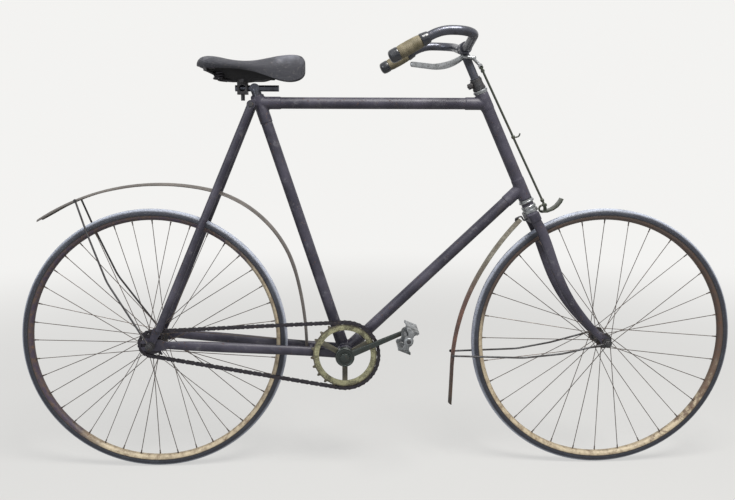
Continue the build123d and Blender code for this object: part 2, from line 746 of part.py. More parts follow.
plate_gap = 5.8
plate_thickness = 1.5
with BuildPart() as chain:
    outline_steps = ((-0.3, 4.8), (0.0, 4.0), (0.3, 4.8), (0.5, 3.2))
    places = [(k + first_pitch + turn, half) for k in range(chain_links) for turn, half in outline_steps]
    for y in (-chain_line - plate_gap / 2, -chain_line + plate_gap / 2 + plate_thickness):
        with BuildSketch(side_plane(y)):
            with BuildLine():
                outer = [chain_point(place, half) for place, half in places]
                Polyline(*outer, outer[0])
            make_face()
            with BuildLine():
                inner = [chain_point(place, -half) for place, half in places]
                Polyline(*inner, inner[0])
            make_face(mode=Mode.SUBTRACT)
        extrude(amount=plate_thickness)
    with BuildSketch(side_plane(-chain_line + plate_gap / 2)):
        for k in range(chain_links):
            place = (k + first_pitch + 0.5) % chain_links
            wrapped = place < lower_start + teeth_reach(ring_teeth) or place > chain_links - teeth_reach(ring_teeth)
            on_sprocket = sprocket_start - teeth_reach(sprocket_teeth) < place < upper_start + teeth_reach(sprocket_teeth)
            if wrapped or on_sprocket:
                continue
            reach = block_half_length / chain_pitch
            corners = [chain_point(place + turn, half) for turn, half in (
                (-reach, block_half_height), (reach, block_half_height),
                (reach, -block_half_height), (-reach, -block_half_height),
            )]
            with BuildLine():
                Polyline(*corners, corners[0])
            make_face()
    extrude(amount=plate_gap)
finish(chain.part, "chain")

# Crank set: axle, chain ring on three arms, and the one crank that is left
spindle_left = bracket_half_width + 26
spindle_right = chain_line + 20.6
collar_face = bracket_half_width + 4.5
crank_nut_radius = 12.0
crank_nut_height = 6.0
with BuildPart() as crank_axle:
    rod(bracket + Vector(0, spindle_left, 0), bracket + Vector(0, collar_face, 0), crank_seat_radius)
    rod(bracket + Vector(0, collar_face, 0), bracket + Vector(0, collar_face - 4, 0), 14.0)
    rod(bracket + Vector(0, collar_face - 4, 0), bracket - Vector(0, collar_face, 0), bracket_axle_radius)
    rod(bracket - Vector(0, collar_face, 0), bracket - Vector(0, spindle_right, 0), crank_seat_radius)
    with BuildSketch(Plane(origin=bracket - Vector(0, spindle_right, 0), z_dir=(0, -1, 0))):
        RegularPolygon(crank_nut_radius, 6)
    extrude(amount=crank_nut_height)
finish(crank_axle.part, "crank_axle")

ring_inner = 68.0
arm_width = 14.0
boss_radius = 24.0
ring_face = -chain_line + tooth_thickness / 2
with BuildPart() as chainring:
    with BuildSketch(side_plane(ring_face)):
        with BuildLine():
            tooth_outline(ring_teeth, ring_tooth_phase, (bottom_bracket_x, bottom_bracket_height))
        make_face()
        with Locations((bottom_bracket_x, bottom_bracket_height)):
            Circle(ring_inner, mode=Mode.SUBTRACT)
            for arm_angle in (-90, 30, 150):
                with Locations(Rotation(0, 0, arm_angle)):
                    with Locations(((ring_inner + boss_radius) / 2, 0)):
                        Rectangle(ring_inner - boss_radius + 16, arm_width)
            Circle(boss_radius)
            Circle(crank_seat_radius + 0.1, mode=Mode.SUBTRACT)
    extrude(amount=tooth_thickness)
finish(chainring.part, "chainring")

pedal_centre = bracket + Vector(crank_length * cos(radians(crank_angle)), 0, crank_length * sin(radians(crank_angle)))
crank_inner = chain_line + tooth_thickness / 2 + 0.1
crank_plane_y = -58.0
pedal_spindle_radius = 5.0
boss_depth = 18.0
crank_boss_radius = 25.0
with BuildPart() as crank:
    with BuildSketch(Plane(origin=bracket - Vector(0, crank_inner, 0), z_dir=(0, -1, 0))):
        Circle(crank_boss_radius)
        Circle(crank_seat_radius + 0.1, mode=Mode.SUBTRACT)
    extrude(amount=boss_depth)
    direction = (pedal_centre - bracket).normalized()
    start = bracket + direction * 10 + Vector(0, crank_plane_y, 0)
    across = Vector(0, 1, 0)
    with BuildSketch(Plane(origin=start, x_dir=across, z_dir=direction)):
        RectangleRounded(11, 17, 3)
    with BuildSketch(Plane(origin=start + direction * (crank_length - 20), x_dir=across, z_dir=direction)):
        RectangleRounded(9, 12, 3)
    loft()
    with BuildSketch(Plane(origin=pedal_centre + Vector(0, crank_plane_y + 6, 0), z_dir=(0, -1, 0))):
        Circle(11)
    extrude(amount=12)
    with BuildSketch(Plane(origin=pedal_centre, z_dir=(0, -1, 0))):
        Circle(pedal_spindle_radius + 0.1)
    extrude(amount=100, mode=Mode.SUBTRACT)
    with BuildSketch(Plane(origin=bracket, z_dir=(0, -1, 0))):
        Circle(crank_seat_radius + 0.1)
    extrude(amount=100, mode=Mode.SUBTRACT)
finish(crank.part, "crank")

pedal_inner = -crank_plane_y + 12
with BuildPart() as pedal_spindle:
    with BuildSketch(Plane(origin=pedal_centre + Vector(0, crank_plane_y + 6, 0), z_dir=(0, -1, 0))):
        Circle(pedal_spindle_radius)
    extrude(amount=pedal_inner + crank_plane_y + pedal_length + 10)
finish(pedal_spindle.part, "pedal_spindle")

# Rat-trap pedal: a tube on the spindle, two end plates and two toothed side plates
pedal_depth = 62.0
with BuildPart() as pedal:
    for y in (pedal_inner, pedal_inner + pedal_length - 3):
        with BuildSketch(Plane(origin=pedal_centre - Vector(0, y, 0), x_dir=(cos(radians(pedal_angle)), 0, sin(radians(pedal_angle))), z_dir=(0, -1, 0))):
            SlotOverall(pedal_depth, 26)
            Circle(pedal_spindle_radius + running_gap, mode=Mode.SUBTRACT)
        extrude(amount=3)
    with BuildSketch(Plane(origin=pedal_centre - Vector(0, pedal_inner, 0), z_dir=(0, -1, 0))):
        Circle(9)
        Circle(pedal_spindle_radius + running_gap, mode=Mode.SUBTRACT)
    extrude(amount=pedal_length)
    plate_dir = Vector(cos(radians(pedal_angle)), 0, sin(radians(pedal_angle)))
    for sign in (-1, 1):
        origin = pedal_centre + plate_dir * (sign * (pedal_depth / 2 - 2)) - Vector(0, pedal_inner, 0)
        with BuildSketch(Plane(origin=origin, x_dir=plate_dir, z_dir=(0, -1, 0))):
            Rectangle(2.5, 24)
        extrude(amount=pedal_length)
finish(pedal.part, "pedal")

# Fork: steerer and crown in one, with a tapered blade each side
crown_bottom = crown_top - crown_depth
crown_race = 8.0
blade_stations = (
    # along the steering axis, ahead of it, width across, depth fore and aft
    (crown_bottom - 0.1, -3.0, 16.0, 26.0),
    (215.0, -5.5, 15.0, 24.0),
    (135.0, 0.0, 14.0, 22.0),
    (70.0, 15.5, 12.0, 20.0),
    (14.0, 34.0, 9.0, 16.0),
)
with BuildPart() as fork_crown:
    with BuildSketch(steer_plane(crown_bottom)):
        with Locations((-2, 0)):
            RectangleRounded(30, 2 * crown_blade_spacing + 18, 12)
    extrude(amount=crown_depth)
    with BuildSketch(steer_plane(crown_top)):
        Circle(cup_radius)
    extrude(amount=crown_race)
    with BuildSketch(steer_plane(crown_top + crown_race)):
        Circle(steerer_radius + 4)
    extrude(amount=head_tube_bottom - cup_height - crown_top - crown_race - seat_gap)
    with BuildSketch(steer_plane(crown_top)):
        Circle(steerer_radius)
    extrude(amount=collar_bottom - crown_top)
finish(fork_crown.part, "fork_crown")

for side, y_sign in (("right", -1), ("left", 1)):
    with BuildPart() as blade:
        spread = fork_tip_inner + fork_tip_thickness / 2 - crown_blade_spacing
        points = [steer(s, t) for s, t, across, depth in blade_stations]
        for index, (along, ahead, across, depth) in enumerate(blade_stations):
            low = max(index - 1, 0)
            high = min(index + 1, len(blade_stations) - 1)
            heading = points[high] - points[low] if index > 0 else -steer_up
            share = (crown_bottom - along) / crown_bottom
            y = y_sign * (crown_blade_spacing + spread * share)
            section = Plane(origin=steer(along, ahead, y), x_dir=(0, 1, 0), z_dir=heading)
            with BuildSketch(section):
                Ellipse(across / 2, depth / 2)
        loft()
        with BuildSketch(steer_side(y_sign * fork_tip_inner)):
            with Locations((fork_offset, 0)):
                Circle(13)
            with BuildLine():
                Polyline((fork_offset - 12, 4), (24, 26), (42, 30), (fork_offset + 12, 4), (fork_offset - 12, 4))
            make_face()
            with Locations((fork_offset, 0)):
                Circle(axle_radius + 0.2, mode=Mode.SUBTRACT)
        extrude(amount=-y_sign * fork_tip_thickness)
        with BuildSketch(steer_side(0)):
            with Locations((fork_offset, 0)):
                Circle(axle_radius + 0.2)
        extrude(amount=80, both=True, mode=Mode.SUBTRACT)
    finish(blade.part, "fork_blade_" + side)

front_axle_reach = fork_tip_inner + fork_tip_thickness + nut_width + 8
with BuildPart() as front_spindle:
    with BuildSketch(Plane(origin=front_axle, z_dir=(0, 1, 0))):
        Circle(axle_radius)
    extrude(amount=front_axle_reach, both=True)
    for y_sign in (-1, 1):
        nut_face = fork_tip_inner + fork_tip_thickness + 0.1
        with BuildSketch(Plane(origin=front_axle + Vector(0, y_sign * nut_face, 0), z_dir=(0, y_sign, 0))):
            RegularPolygon(nut_radius, 6)
        extrude(amount=nut_width)
        with BuildSketch(Plane(origin=front_axle + Vector(0, y_sign * (fork_tip_inner - 0.1), 0), z_dir=(0, -y_sign, 0))):
            Circle(8)
        extrude(amount=3)
finish(front_spindle.part, "front_spindle")

with BuildPart() as front_guard_stays:
    for y_sign in (-1, 1):
        outer = fork_tip_inner + fork_tip_thickness + nut_width + 3.3
        guard_stay(front_axle, y_sign, ((-401, -43, guard_edge), (-216, -43, 47), (-118, -29, 60), (-10, -2, outer)))
        with BuildSketch(side_plane(y_sign * (outer - 2.5))):
            with Locations((wheelbase, wheel_radius)):
                Circle(11)
                Circle(axle_radius + braze_gap, mode=Mode.SUBTRACT)
        extrude(amount=-y_sign * 5)
finish(front_guard_stays.part, "front_guard_stays")

# Upper head fittings: the adjusting cone and the split collar that grips the stem
stem_radius = 10.8
with BuildPart() as head_collar:
    with BuildSketch(steer_plane(cone_bottom)):
        Circle(17)
    extrude(amount=cone_height)
    with BuildSketch(steer_plane(collar_bottom)):
        Circle(15.5)
        with Locations((-18, 0)):
            Rectangle(18, 18)
    extrude(amount=collar_height)
    with BuildSketch(steer_plane(head_tube_top)):
        Circle(steerer_radius + 0.1)
    extrude(amount=collar_bottom - head_tube_top + 0.1, mode=Mode.SUBTRACT)
    with BuildSketch(steer_plane(collar_bottom)):
        Circle(stem_radius + 0.1)
    extrude(amount=collar_height + 1, mode=Mode.SUBTRACT)
finish(head_collar.part, "head_collar")

bar_radius = 11.1
bar_lug = steer(lug_station, 5)
with BuildPart() as stem:
    rod(steer(collar_bottom + 0.3), steer(lug_station, 0), stem_radius)
    rod(bar_lug + Vector(0, 24, 0), bar_lug - Vector(0, 24, 0), bar_radius + 3.5)
    with BuildSketch(Plane(origin=bar_lug, z_dir=(0, 1, 0))):
        Circle(bar_radius + braze_gap)
    extrude(amount=40, both=True, mode=Mode.SUBTRACT)
finish(stem.part, "stem")

grip_spacing = 207.0
bar_bends = (
    # ahead of the lug, above it, distance from the middle, bend radius
    (0.0, 0.0, 60.0, 160.0),
    (-3.2, 22.3, grip_spacing, 50.0),
    (-85.2, 23.3, grip_spacing, 100.0),
    (-201.2, -40.2, grip_spacing, 0.0),
)
with BuildPart() as handlebar:
    left = [bar_lug + Vector(x, y, z) for x, z, y, radius in reversed(bar_bends)]
    right = [bar_lug + Vector(x, -y, z) for x, z, y, radius in bar_bends]
    radii = [radius for x, z, y, radius in reversed(bar_bends)][1:] + [radius for x, z, y, radius in bar_bends][:-1]
    with BuildLine() as bar_path:
        FilletPolyline(*left, *right, radius=radii)
    with BuildSketch(Plane(origin=bar_path.line @ 0, z_dir=bar_path.line % 0)):
        Circle(bar_radius)
    sweep(path=bar_path.line)
finish(handlebar.part, "handlebar")

grip_length = 104.0
grip_radius = 16.5
with BuildPart() as grips:
    for y_sign in (-1, 1):
        bend = bar_lug + Vector(bar_bends[-2][0], y_sign * grip_spacing, bar_bends[-2][1])
        tip = bar_lug + Vector(bar_bends[-1][0], y_sign * grip_spacing, bar_bends[-1][1])
        outward = (tip - bend).normalized()
        start = tip + outward * 3 - outward * grip_length
        with BuildSketch(Plane(origin=start, z_dir=outward)):
            Circle(grip_radius)
        extrude(amount=grip_length)
        with BuildSketch(Plane(origin=start - outward, z_dir=outward)):
            Circle(bar_radius + braze_gap)
        extrude(amount=grip_length - 3 + 1 + seat_gap, mode=Mode.SUBTRACT)
finish(grips.part, "grips")

# Brake: a lever under the right grip, a rod down the head and a spoon over the tyre
pivot_spacing = 19.0
lever_root = bar_lug + Vector(-8.2, -pivot_spacing, -21.7)
pivot_station = lug_station - 32
lever_heading = Vector(-145, -190, 0).normalized()
lever_half = 2.5
rod_top = steer(lug_station - 56, 25)
rod_bottom = steer(crown_top + 3, 40)
rod_radius = 3.0
rod_eye = 5.0
pivot_radius = 4.5
pivot_ahead = stem_radius + pivot_radius + seat_gap
with BuildPart() as brake_lever:
    with BuildSketch(Plane(origin=lever_root, x_dir=lever_heading, z_dir=lever_heading.cross(Vector(0, 0, 1)))):
        with BuildLine():
            ThreePointArc((0, 4), (70, -16), (150, -27))
            Line((150, -27), (234, -27))
            ThreePointArc((234, -27), (240, -33), (234, -39))
            Line((234, -39), (150, -40))
            ThreePointArc((150, -40), (64, -31), (-4, -7))
            Line((-4, -7), (0, 4))
        make_face()
    extrude(amount=lever_half, both=True)
    rod(lever_root, steer(pivot_station, pivot_ahead, -pivot_spacing), pivot_radius)
    rod(steer(pivot_station, pivot_ahead, -pivot_spacing - 3), steer(pivot_station, pivot_ahead, 6), pivot_radius)
    rod(steer(pivot_station, pivot_ahead, 0), rod_top, 4.0)
    rod(rod_top - Vector(0, 7, 0), rod_top + Vector(0, 7, 0), rod_eye)
finish(brake_lever.part, "brake_lever")

spoon_radius = wheel_radius + 26
with BuildPart() as brake_plunger:
    rod_heading = (rod_bottom - rod_top).normalized()
    rod(rod_top + rod_heading * (rod_eye + seat_gap), rod_bottom, rod_radius)
    rod(rod_bottom + Vector(0, 7, 0), rod_bottom - Vector(0, 7, 0), 5.5)
    rod(rod_bottom, at(*circle_point(wheelbase, wheel_radius, spoon_radius + 3, 114.5)), 4.0)
    with BuildSketch(side_plane()):
        with BuildLine():
            outer = [circle_point(wheelbase, wheel_radius, spoon_radius + 4, angle) for angle in (117, 112, 107)]
            inner = [circle_point(wheelbase, wheel_radius, spoon_radius, angle) for angle in (107, 112, 117)]
            ThreePointArc(*outer)
            Line(outer[2], inner[0])
            ThreePointArc(*inner)
            Line(inner[2], outer[0])
        make_face()
    extrude(amount=17, both=True)
finish(brake_plunger.part, "brake_plunger")
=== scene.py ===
import bpy
from math import acos, atan2, ceil, cos, hypot, pi, radians, sin, sqrt
from mathutils import Matrix, Vector


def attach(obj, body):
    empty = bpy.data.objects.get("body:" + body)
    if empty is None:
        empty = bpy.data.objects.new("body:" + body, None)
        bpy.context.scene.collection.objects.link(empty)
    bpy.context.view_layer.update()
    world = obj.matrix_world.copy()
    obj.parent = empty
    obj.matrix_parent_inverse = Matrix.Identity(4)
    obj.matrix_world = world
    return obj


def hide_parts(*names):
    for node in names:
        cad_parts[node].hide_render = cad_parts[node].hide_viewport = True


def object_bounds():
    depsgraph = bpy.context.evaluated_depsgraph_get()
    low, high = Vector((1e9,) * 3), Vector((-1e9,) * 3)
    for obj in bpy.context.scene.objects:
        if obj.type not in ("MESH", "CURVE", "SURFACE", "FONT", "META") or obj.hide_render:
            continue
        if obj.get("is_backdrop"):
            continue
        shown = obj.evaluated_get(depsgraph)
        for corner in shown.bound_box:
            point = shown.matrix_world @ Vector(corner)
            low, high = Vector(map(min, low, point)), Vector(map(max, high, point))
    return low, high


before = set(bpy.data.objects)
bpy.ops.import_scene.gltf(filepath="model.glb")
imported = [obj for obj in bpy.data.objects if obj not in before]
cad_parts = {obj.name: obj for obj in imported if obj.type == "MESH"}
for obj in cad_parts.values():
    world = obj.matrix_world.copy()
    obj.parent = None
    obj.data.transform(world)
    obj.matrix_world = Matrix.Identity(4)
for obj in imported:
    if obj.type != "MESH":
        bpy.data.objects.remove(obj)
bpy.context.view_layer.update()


# Frame: steel tubes brazed into lugs, stove-enamelled black. A century of handling has turned
# the enamel a dull violet grey and let rust through in freckles.
class Value:
    """What one node hands to the next. Python's signs put a Math node between two of them."""

    def __init__(self, finish, socket):
        self.finish = finish
        self.socket = socket

    def maths(self, operation, first, second):
        return self.finish.node("ShaderNodeMath", {"operation": operation}, {0: first, 1: second})

    def __add__(self, other):
        return self.maths("ADD", self, other)

    def __sub__(self, other):
        return self.maths("SUBTRACT", self, other)

    def __rsub__(self, other):
        return self.maths("SUBTRACT", other, self)

    def __mul__(self, other):
        return self.maths("MULTIPLY", self, other)

    __radd__ = __add__
    __rmul__ = __mul__


class Finish:
    """A finish in the making: its material, and one method that adds any node to it."""

    def __init__(self, name):
        self.material = bpy.data.materials.new(name)
        self.material.use_nodes = True
        self.tree = self.material.node_tree
        self.shader = self.tree.nodes["Principled BSDF"]
        self.spot = self.node("ShaderNodeTexCoord", output="Object")

    def put(self, socket, value):
        if isinstance(value, Value):
            self.tree.links.new(value.socket, socket)
        elif socket.type == "RGBA":
            socket.default_value = (*value, 1.0)
        else:
            socket.default_value = value

    def node(self, kind, settings=None, values=None, output=0):
        node = self.tree.nodes.new(kind)
        for name, setting in (settings or {}).items():
            setattr(node, name, setting)
        for socket, value in (values or {}).items():
            self.put(node.inputs[socket], value)
        return Value(self, node.outputs[output])

    def noise(self, scale, detail, roughness, spot=None, distortion=0.0):
        values = {"Vector": spot or self.spot, "Scale": scale, "Detail": detail}
        values.update({"Roughness": roughness, "Distortion": distortion})
        return self.node("ShaderNodeTexNoise", None, values)

    def cells(self, scale, feature="F1", spot=None):
        values = {"Vector": spot or self.spot, "Scale": scale}
        return self.node("ShaderNodeTexVoronoi", {"feature": feature}, values)

    def stretched(self, scale):
        return self.node("ShaderNodeMapping", None, {"Vector": self.spot, "Scale": scale})

    def height(self):
        return self.node("ShaderNodeSeparateXYZ", None, {0: self.spot}, 2)

    def vector(self, operation, first, second=(0.0, 0.0, 0.0), output=0):
        settings = {"operation": operation}
        return self.node("ShaderNodeVectorMath", settings, {0: first, 1: second}, output)

    def reach(self, axle):
        """How far out from an axle a point of the surface lies, in metres."""
        arm = self.vector("SUBTRACT", self.spot, axle)
        return self.vector("LENGTH", self.vector("MULTIPLY", arm, (1.0, 0.0, 1.0)), output=1)

    def between(self, value, low, high):
        values = {"Value": value, "From Min": low, "From Max": high}
        return self.node("ShaderNodeMapRange", {"interpolation_type": "SMOOTHSTEP"}, values)

    def layered(self, colour, *layers):
        """A colour with others laid over it, each with the share that it covers."""
        for share, cover in layers:
            values = {0: share, 6: colour, 7: cover}
            colour = self.node("ShaderNodeMix", {"data_type": "RGBA"}, values, 2)
        return colour

    def surface(self, colour, roughness, relief=None, depth=0.001, metallic=None):
        self.put(self.shader.inputs["Base Color"], colour)
        self.put(self.shader.inputs["Roughness"], roughness)
        if metallic is not None:
            self.put(self.shader.inputs["Metallic"], metallic)
        if relief is not None:
            normal = self.node("ShaderNodeBump", None, {"Height": relief, "Distance": depth})
            self.put(self.shader.inputs["Normal"], normal)

    def dress(self, *nodes):
        for node in nodes:
            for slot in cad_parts[node].material_slots:
                slot.material = self.material


def enamel_finish(name, dark, light, scuff, shine):
    finish = Finish(name)
    patches = finish.between(finish.noise(9, 5, 0.6), 0.36, 0.66)
    fading = finish.noise(46, 7, 0.66)
    grain = finish.noise(520, 3, 0.6)
    scuffed = finish.between(fading * 0.75 + grain * 0.25, 0.53, 0.68)
    freckles = finish.between(finish.noise(120, 8, 0.72), 0.6, 0.67)
    streaks = finish.between(finish.noise(17, 6, 0.7, distortion=0.6), 0.55, 0.75)
    colour = finish.layered(
        dark, (patches, light), (streaks * 0.5, (0.075, 0.064, 0.06)), (scuffed * 0.6, scuff),
        (freckles * 0.8, (0.12, 0.062, 0.04)),
    )
    roughness = shine + fading * 0.3 + freckles * 0.3
    relief = grain * 0.25 + fading * 0.3 + freckles * 0.5 - scuffed * 0.15
    finish.surface(colour, roughness, relief, 0.0006)
    return finish


# The model's zero, the two wheels' axles, the crank's axle and the steering axis's foot, in
# millimetres ahead of the rear axle and over the ground.
zero_ahead, zero_up = 216.0, 1079.0
rear_axle, front_axle, crank_axle = (0.0, 350.0), (1192.5, 350.0), (502.6, 316.0)
head_foot = (1154.86, 333.0)
head_lean = (0.41151, 0.9114)


def place(x, z, y=0.0):
    """A point given in millimetres ahead of the rear axle, over the ground and to the left."""
    return Vector((x - zero_ahead, y, z - zero_up)) / 1000


def steer(along, ahead=0.0, y=0.0):
    """A point given in millimetres up the steering axis, ahead of it and to the left."""
    x = head_foot[0] - along * head_lean[0] + ahead * head_lean[1]
    z = head_foot[1] + along * head_lean[1] + ahead * head_lean[0]
    return place(x, z, y)


def picked(*pieces):
    """Selects these pieces and nothing else, and makes the first of them the active one."""
    bpy.ops.object.select_all(action="DESELECT")
    for piece in reversed(pieces):
        piece.select_set(True)
        bpy.context.view_layer.objects.active = piece


def named(name):
    piece = bpy.context.object
    piece.name = name
    piece.data.name = name
    return piece


def settled(piece):
    """Puts a moved piece's place into its mesh."""
    picked(piece)
    bpy.ops.object.transform_apply(location=True, rotation=True, scale=True)
    return piece


def aimed(spot, along):
    """The place of a piece that was made standing on the origin along z."""
    turn = Vector((0, 0, 1)).rotation_difference(Vector(along).normalized())
    return Matrix.Translation(spot) @ turn.to_matrix().to_4x4()


def bar(start, end, radius, sides=48):
    """A round bar from point to point, its radius in millimetres."""
    picked()
    length = (end - start).length
    bpy.ops.mesh.primitive_cylinder_add(vertices=sides, radius=radius / 1000, depth=length)
    piece = bpy.context.object
    piece.matrix_world = aimed((start + end) / 2, end - start)
    return settled(piece)


def joined(name, pieces):
    picked(*pieces)
    if len(pieces) > 1:
        bpy.ops.object.join()
    return named(name)


def altered(piece, kind, **settings):
    """A modifier put on a piece and applied at once."""
    picked(piece)
    modifier = piece.modifiers.new(kind.lower(), kind)
    for name, setting in settings.items():
        setattr(modifier, name, setting)
    bpy.ops.object.modifier_apply(modifier=modifier.name)
    return piece


def brazed(name, bars, voxel=1.4, rounds=10):
    """Bars run together as brass does: one skin over all of them, its corners filled."""
    piece = joined(name, [bar(*ends) for ends in bars])
    altered(piece, "REMESH", mode="VOXEL", voxel_size=voxel / 1000)
    altered(piece, "SMOOTH", factor=0.5, iterations=rounds)
    bpy.ops.object.shade_smooth()
    return piece


def fitted(piece, body, slot, finish, *nodes):
    """Gives a piece its body, its finish, and the nodes of the model that it stands for."""
    piece.data.materials.clear()
    piece.data.materials.append(finish.material)
    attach(piece, body)
    if nodes:
        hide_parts(*nodes)
    return piece


frame_enamel = enamel_finish(
    "frame_enamel", (0.019, 0.0175, 0.031), (0.056, 0.052, 0.075), (0.14, 0.138, 0.155), 0.32,
)
frame_enamel.dress("top_tube", "down_tube", "seat_tube", "chain_stay_right", "chain_stay_left")
frame_enamel.dress("seat_stay_right", "seat_stay_left", "stay_bridges")
frame_enamel.dress("fork_blade_right", "fork_blade_left")

level = Vector((1, 0, 0))
across = Vector((0, 1, 0))
steer_up = Vector((-head_lean[0], 0, head_lean[1]))
seat_up = Vector((-0.31399, 0, 0.94943))
bracket = place(*crank_axle)
seat_node = place(285.81, 971.5)
top_head_node = place(866.56, 971.5)
down_head_node = steer(462.0)
down_way = (down_head_node - bracket).normalized()

head_lug = brazed("head_lug", (
    (steer(429.7), steer(728.8), 16.2),
    (steer(430.0), steer(487.0), 17.2),
    (steer(685.0), steer(728.6), 17.2),
    (top_head_node, top_head_node - level * 0.054, 16.3),
    (down_head_node, down_head_node - down_way * 0.053, 16.3),
))
fitted(head_lug, "frame", "frame_enamel", frame_enamel, "head_tube")
seat_lug = brazed("seat_lug_body", (
    (seat_node - seat_up * 0.054, seat_node + seat_up * 0.0195, 16.2),
    (seat_node, seat_node + level * 0.054, 16.2),
    (place(269.8, 970.5, -15.8), place(269.8, 970.5, 15.8), 10.0),
    (place(269.8, 984.0, -7.0), place(269.8, 984.0, 7.0), 7.0),
))
fitted(seat_lug, "frame", "frame_enamel", frame_enamel, "seat_lug")
bracket_lug = brazed("bracket_lug", (
    (bracket - across * 0.034, bracket + across * 0.034, 24.0),
    (bracket, bracket + seat_up * 0.06, 16.3),
    (bracket, bracket + down_way * 0.06, 16.3),
    *[
        (place(488.0, z, y), place(470.0, z + 1.5, y), 7.2)
        for y in (31.0, -31.0) for z in (323.0, 314.0)
    ],
))
fitted(bracket_lug, "frame", "frame_enamel", frame_enamel, "bottom_bracket")


# Steel: the stays, axles, nuts, cups and clips were left bare or thinly plated, and have gone a
# dark brownish grey with rust in the corners. Only a few pieces still show bright nickel.
def steel_finish(name, clean, dirty, rust, low, shine=0.75, rough=0.42):
    finish = Finish(name)
    wide = finish.noise(34, 6, 0.65)
    fine = finish.noise(330, 5, 0.65)
    dirt = finish.between(wide * 0.75 + fine * 0.25, low, low + 0.22)
    rusty = finish.between(finish.noise(150, 8, 0.74), 0.55, 0.66)
    colour = finish.layered(clean, (dirt, dirty), (rusty * 0.8, rust))
    metallic = shine - dirt * 0.35 - rusty * 0.35
    roughness = rough + dirt * 0.22 + rusty * 0.2
    finish.surface(colour, roughness, fine * 0.4 + rusty * 0.6, 0.00022, metallic)
    return finish


dull_steel = steel_finish(
    "dull_steel", (0.07, 0.071, 0.076), (0.034, 0.03, 0.031), (0.08, 0.045, 0.03), 0.42,
)
bright_nickel = steel_finish(
    "bright_nickel", (0.36, 0.375, 0.39), (0.11, 0.115, 0.118), (0.11, 0.085, 0.065), 0.48,
    0.9, 0.24,
)
stem_nickel = steel_finish(
    "stem_nickel", (0.085, 0.09, 0.112), (0.034, 0.034, 0.041), (0.06, 0.045, 0.036), 0.46,
    0.75, 0.26,
)
dull_steel.dress("rear_guard_stays", "front_guard_stays")


# Bottom bracket cups and seat bolt: turned steel rings screwed into the shell's ends, and a bolt
# through the lug that also holds the seat stays.
def drawn(points):
    """A line of edges drawn from point to point by extruding one corner, left in edit mode."""
    picked()
    bpy.ops.mesh.primitive_plane_add(size=0.001, location=(0, 0, 0))
    bpy.ops.object.mode_set(mode="EDIT")
    bpy.ops.mesh.merge(type="CENTER")
    bpy.ops.transform.translate(value=points[0])
    for start, end in zip(points, points[1:]):
        bpy.ops.mesh.extrude_vertices_move(TRANSFORM_OT_translate={"value": end - start})
    bpy.ops.mesh.select_all(action="SELECT")


def cleaned(merge=0.0, flat=0.0):
    """Merges the mesh's double corners and flat faces, and turns all of its faces outward."""
    bpy.ops.object.mode_set(mode="EDIT")
    bpy.ops.mesh.select_all(action="SELECT")
    if merge:
        bpy.ops.mesh.remove_doubles(threshold=merge)
    if flat:
        bpy.ops.mesh.dissolve_limited(angle_limit=radians(flat))
    bpy.ops.mesh.normals_make_consistent(inside=False)
    bpy.ops.object.mode_set(mode="OBJECT")


def turned(name, outline, spot, along=(0, 1, 0), steps=48, ease=30):
    """A lathe-turned piece. Its outline is given in millimetres along the axis and out from it,
    and runs back to its start unless that lies on the axis."""
    if outline[0][1]:
        outline = [*outline, outline[0]]
    drawn([Vector((out, 0, rise)) / 1000 for rise, out in outline])
    bpy.ops.mesh.spin(steps=steps, angle=2 * pi, center=(0, 0, 0), axis=(0, 0, 1))
    cleaned(1e-6)
    bpy.ops.object.shade_smooth_by_angle(angle=radians(ease))
    piece = named(name)
    piece.matrix_world = aimed(spot, along)
    return settled(piece)


def nut(spot, along, radius, height):
    """A hexagon nut with its corners turned off, on a thin washer."""
    six = turned("nut", (
        (1.0, 0), (1.0, radius * 0.9), (1.0 + height * 0.12, radius), (height * 0.86, radius),
        (height, radius * 0.86), (height, 0),
    ), spot, along, 6, 20)
    washer = turned("washer", (
        (0, 0), (0, radius * 1.12), (0.9, radius * 1.12), (1.0, radius * 1.05), (1.0, 0),
    ), spot, along, 24)
    return joined("nut", [six, washer])


def nuts(spot, out, radius, height):
    """A nut on either side of the middle plane, so many millimetres out."""
    ends = [(spot + across * sign * out / 1000, (0, sign, 0)) for sign in (-1, 1)]
    return [nut(end, way, radius, height) for end, way in ends]


bracket_cups = joined("bracket_cups", [
    turned("cup", (
        (34.2, 9.4), (34.2, 21.5), (35.0, 22.2), (36.4, 22.2), (37.0, 21.0), (37.3, 14.0),
        (37.3, 9.4),
    ), bracket, (0, sign, 0), 40)
    for sign in (-1, 1)
])
fitted(bracket_cups, "frame", "dull_steel", dull_steel)
seat_bolt = joined("seat_bolt", nuts(place(266.3, 967.0), 33.2, 6.5, 6.0))
fitted(seat_bolt, "frame", "dull_steel", dull_steel)

# Headset: ball cups pressed into the head, a cone and locknut over them, and the split collar
# whose bolt behind grips the handlebar stem.
head_cups = joined("head_cup_rings", [
    turned("lower_cup", (
        (420.6, 13), (420.6, 18.8), (421.3, 19.9), (422.6, 20.4), (424.6, 20.4), (425.6, 19.6),
        (426.2, 18.2), (427.2, 18.0), (429.4, 18.0), (429.4, 13),
    ), steer(0), steer_up),
    turned("upper_cup", (
        (729.1, 13), (729.1, 17.4), (731.5, 17.4), (733.0, 18.2), (733.8, 18.9), (736.8, 18.9),
        (737.9, 18.0), (737.9, 13),
    ), steer(0), steer_up),
])
fitted(head_cups, "frame", "dull_steel", bright_nickel, "head_cups")
adjusting_cone = turned("adjusting_cone", (
    (738.5, 12.3), (738.5, 15.5), (740.0, 17.0), (742.6, 17.0), (743.4, 16.2), (743.9, 16.9),
    (746.0, 16.9), (746.8, 16.0), (746.8, 12.3),
), steer(0), steer_up, 20, 12)
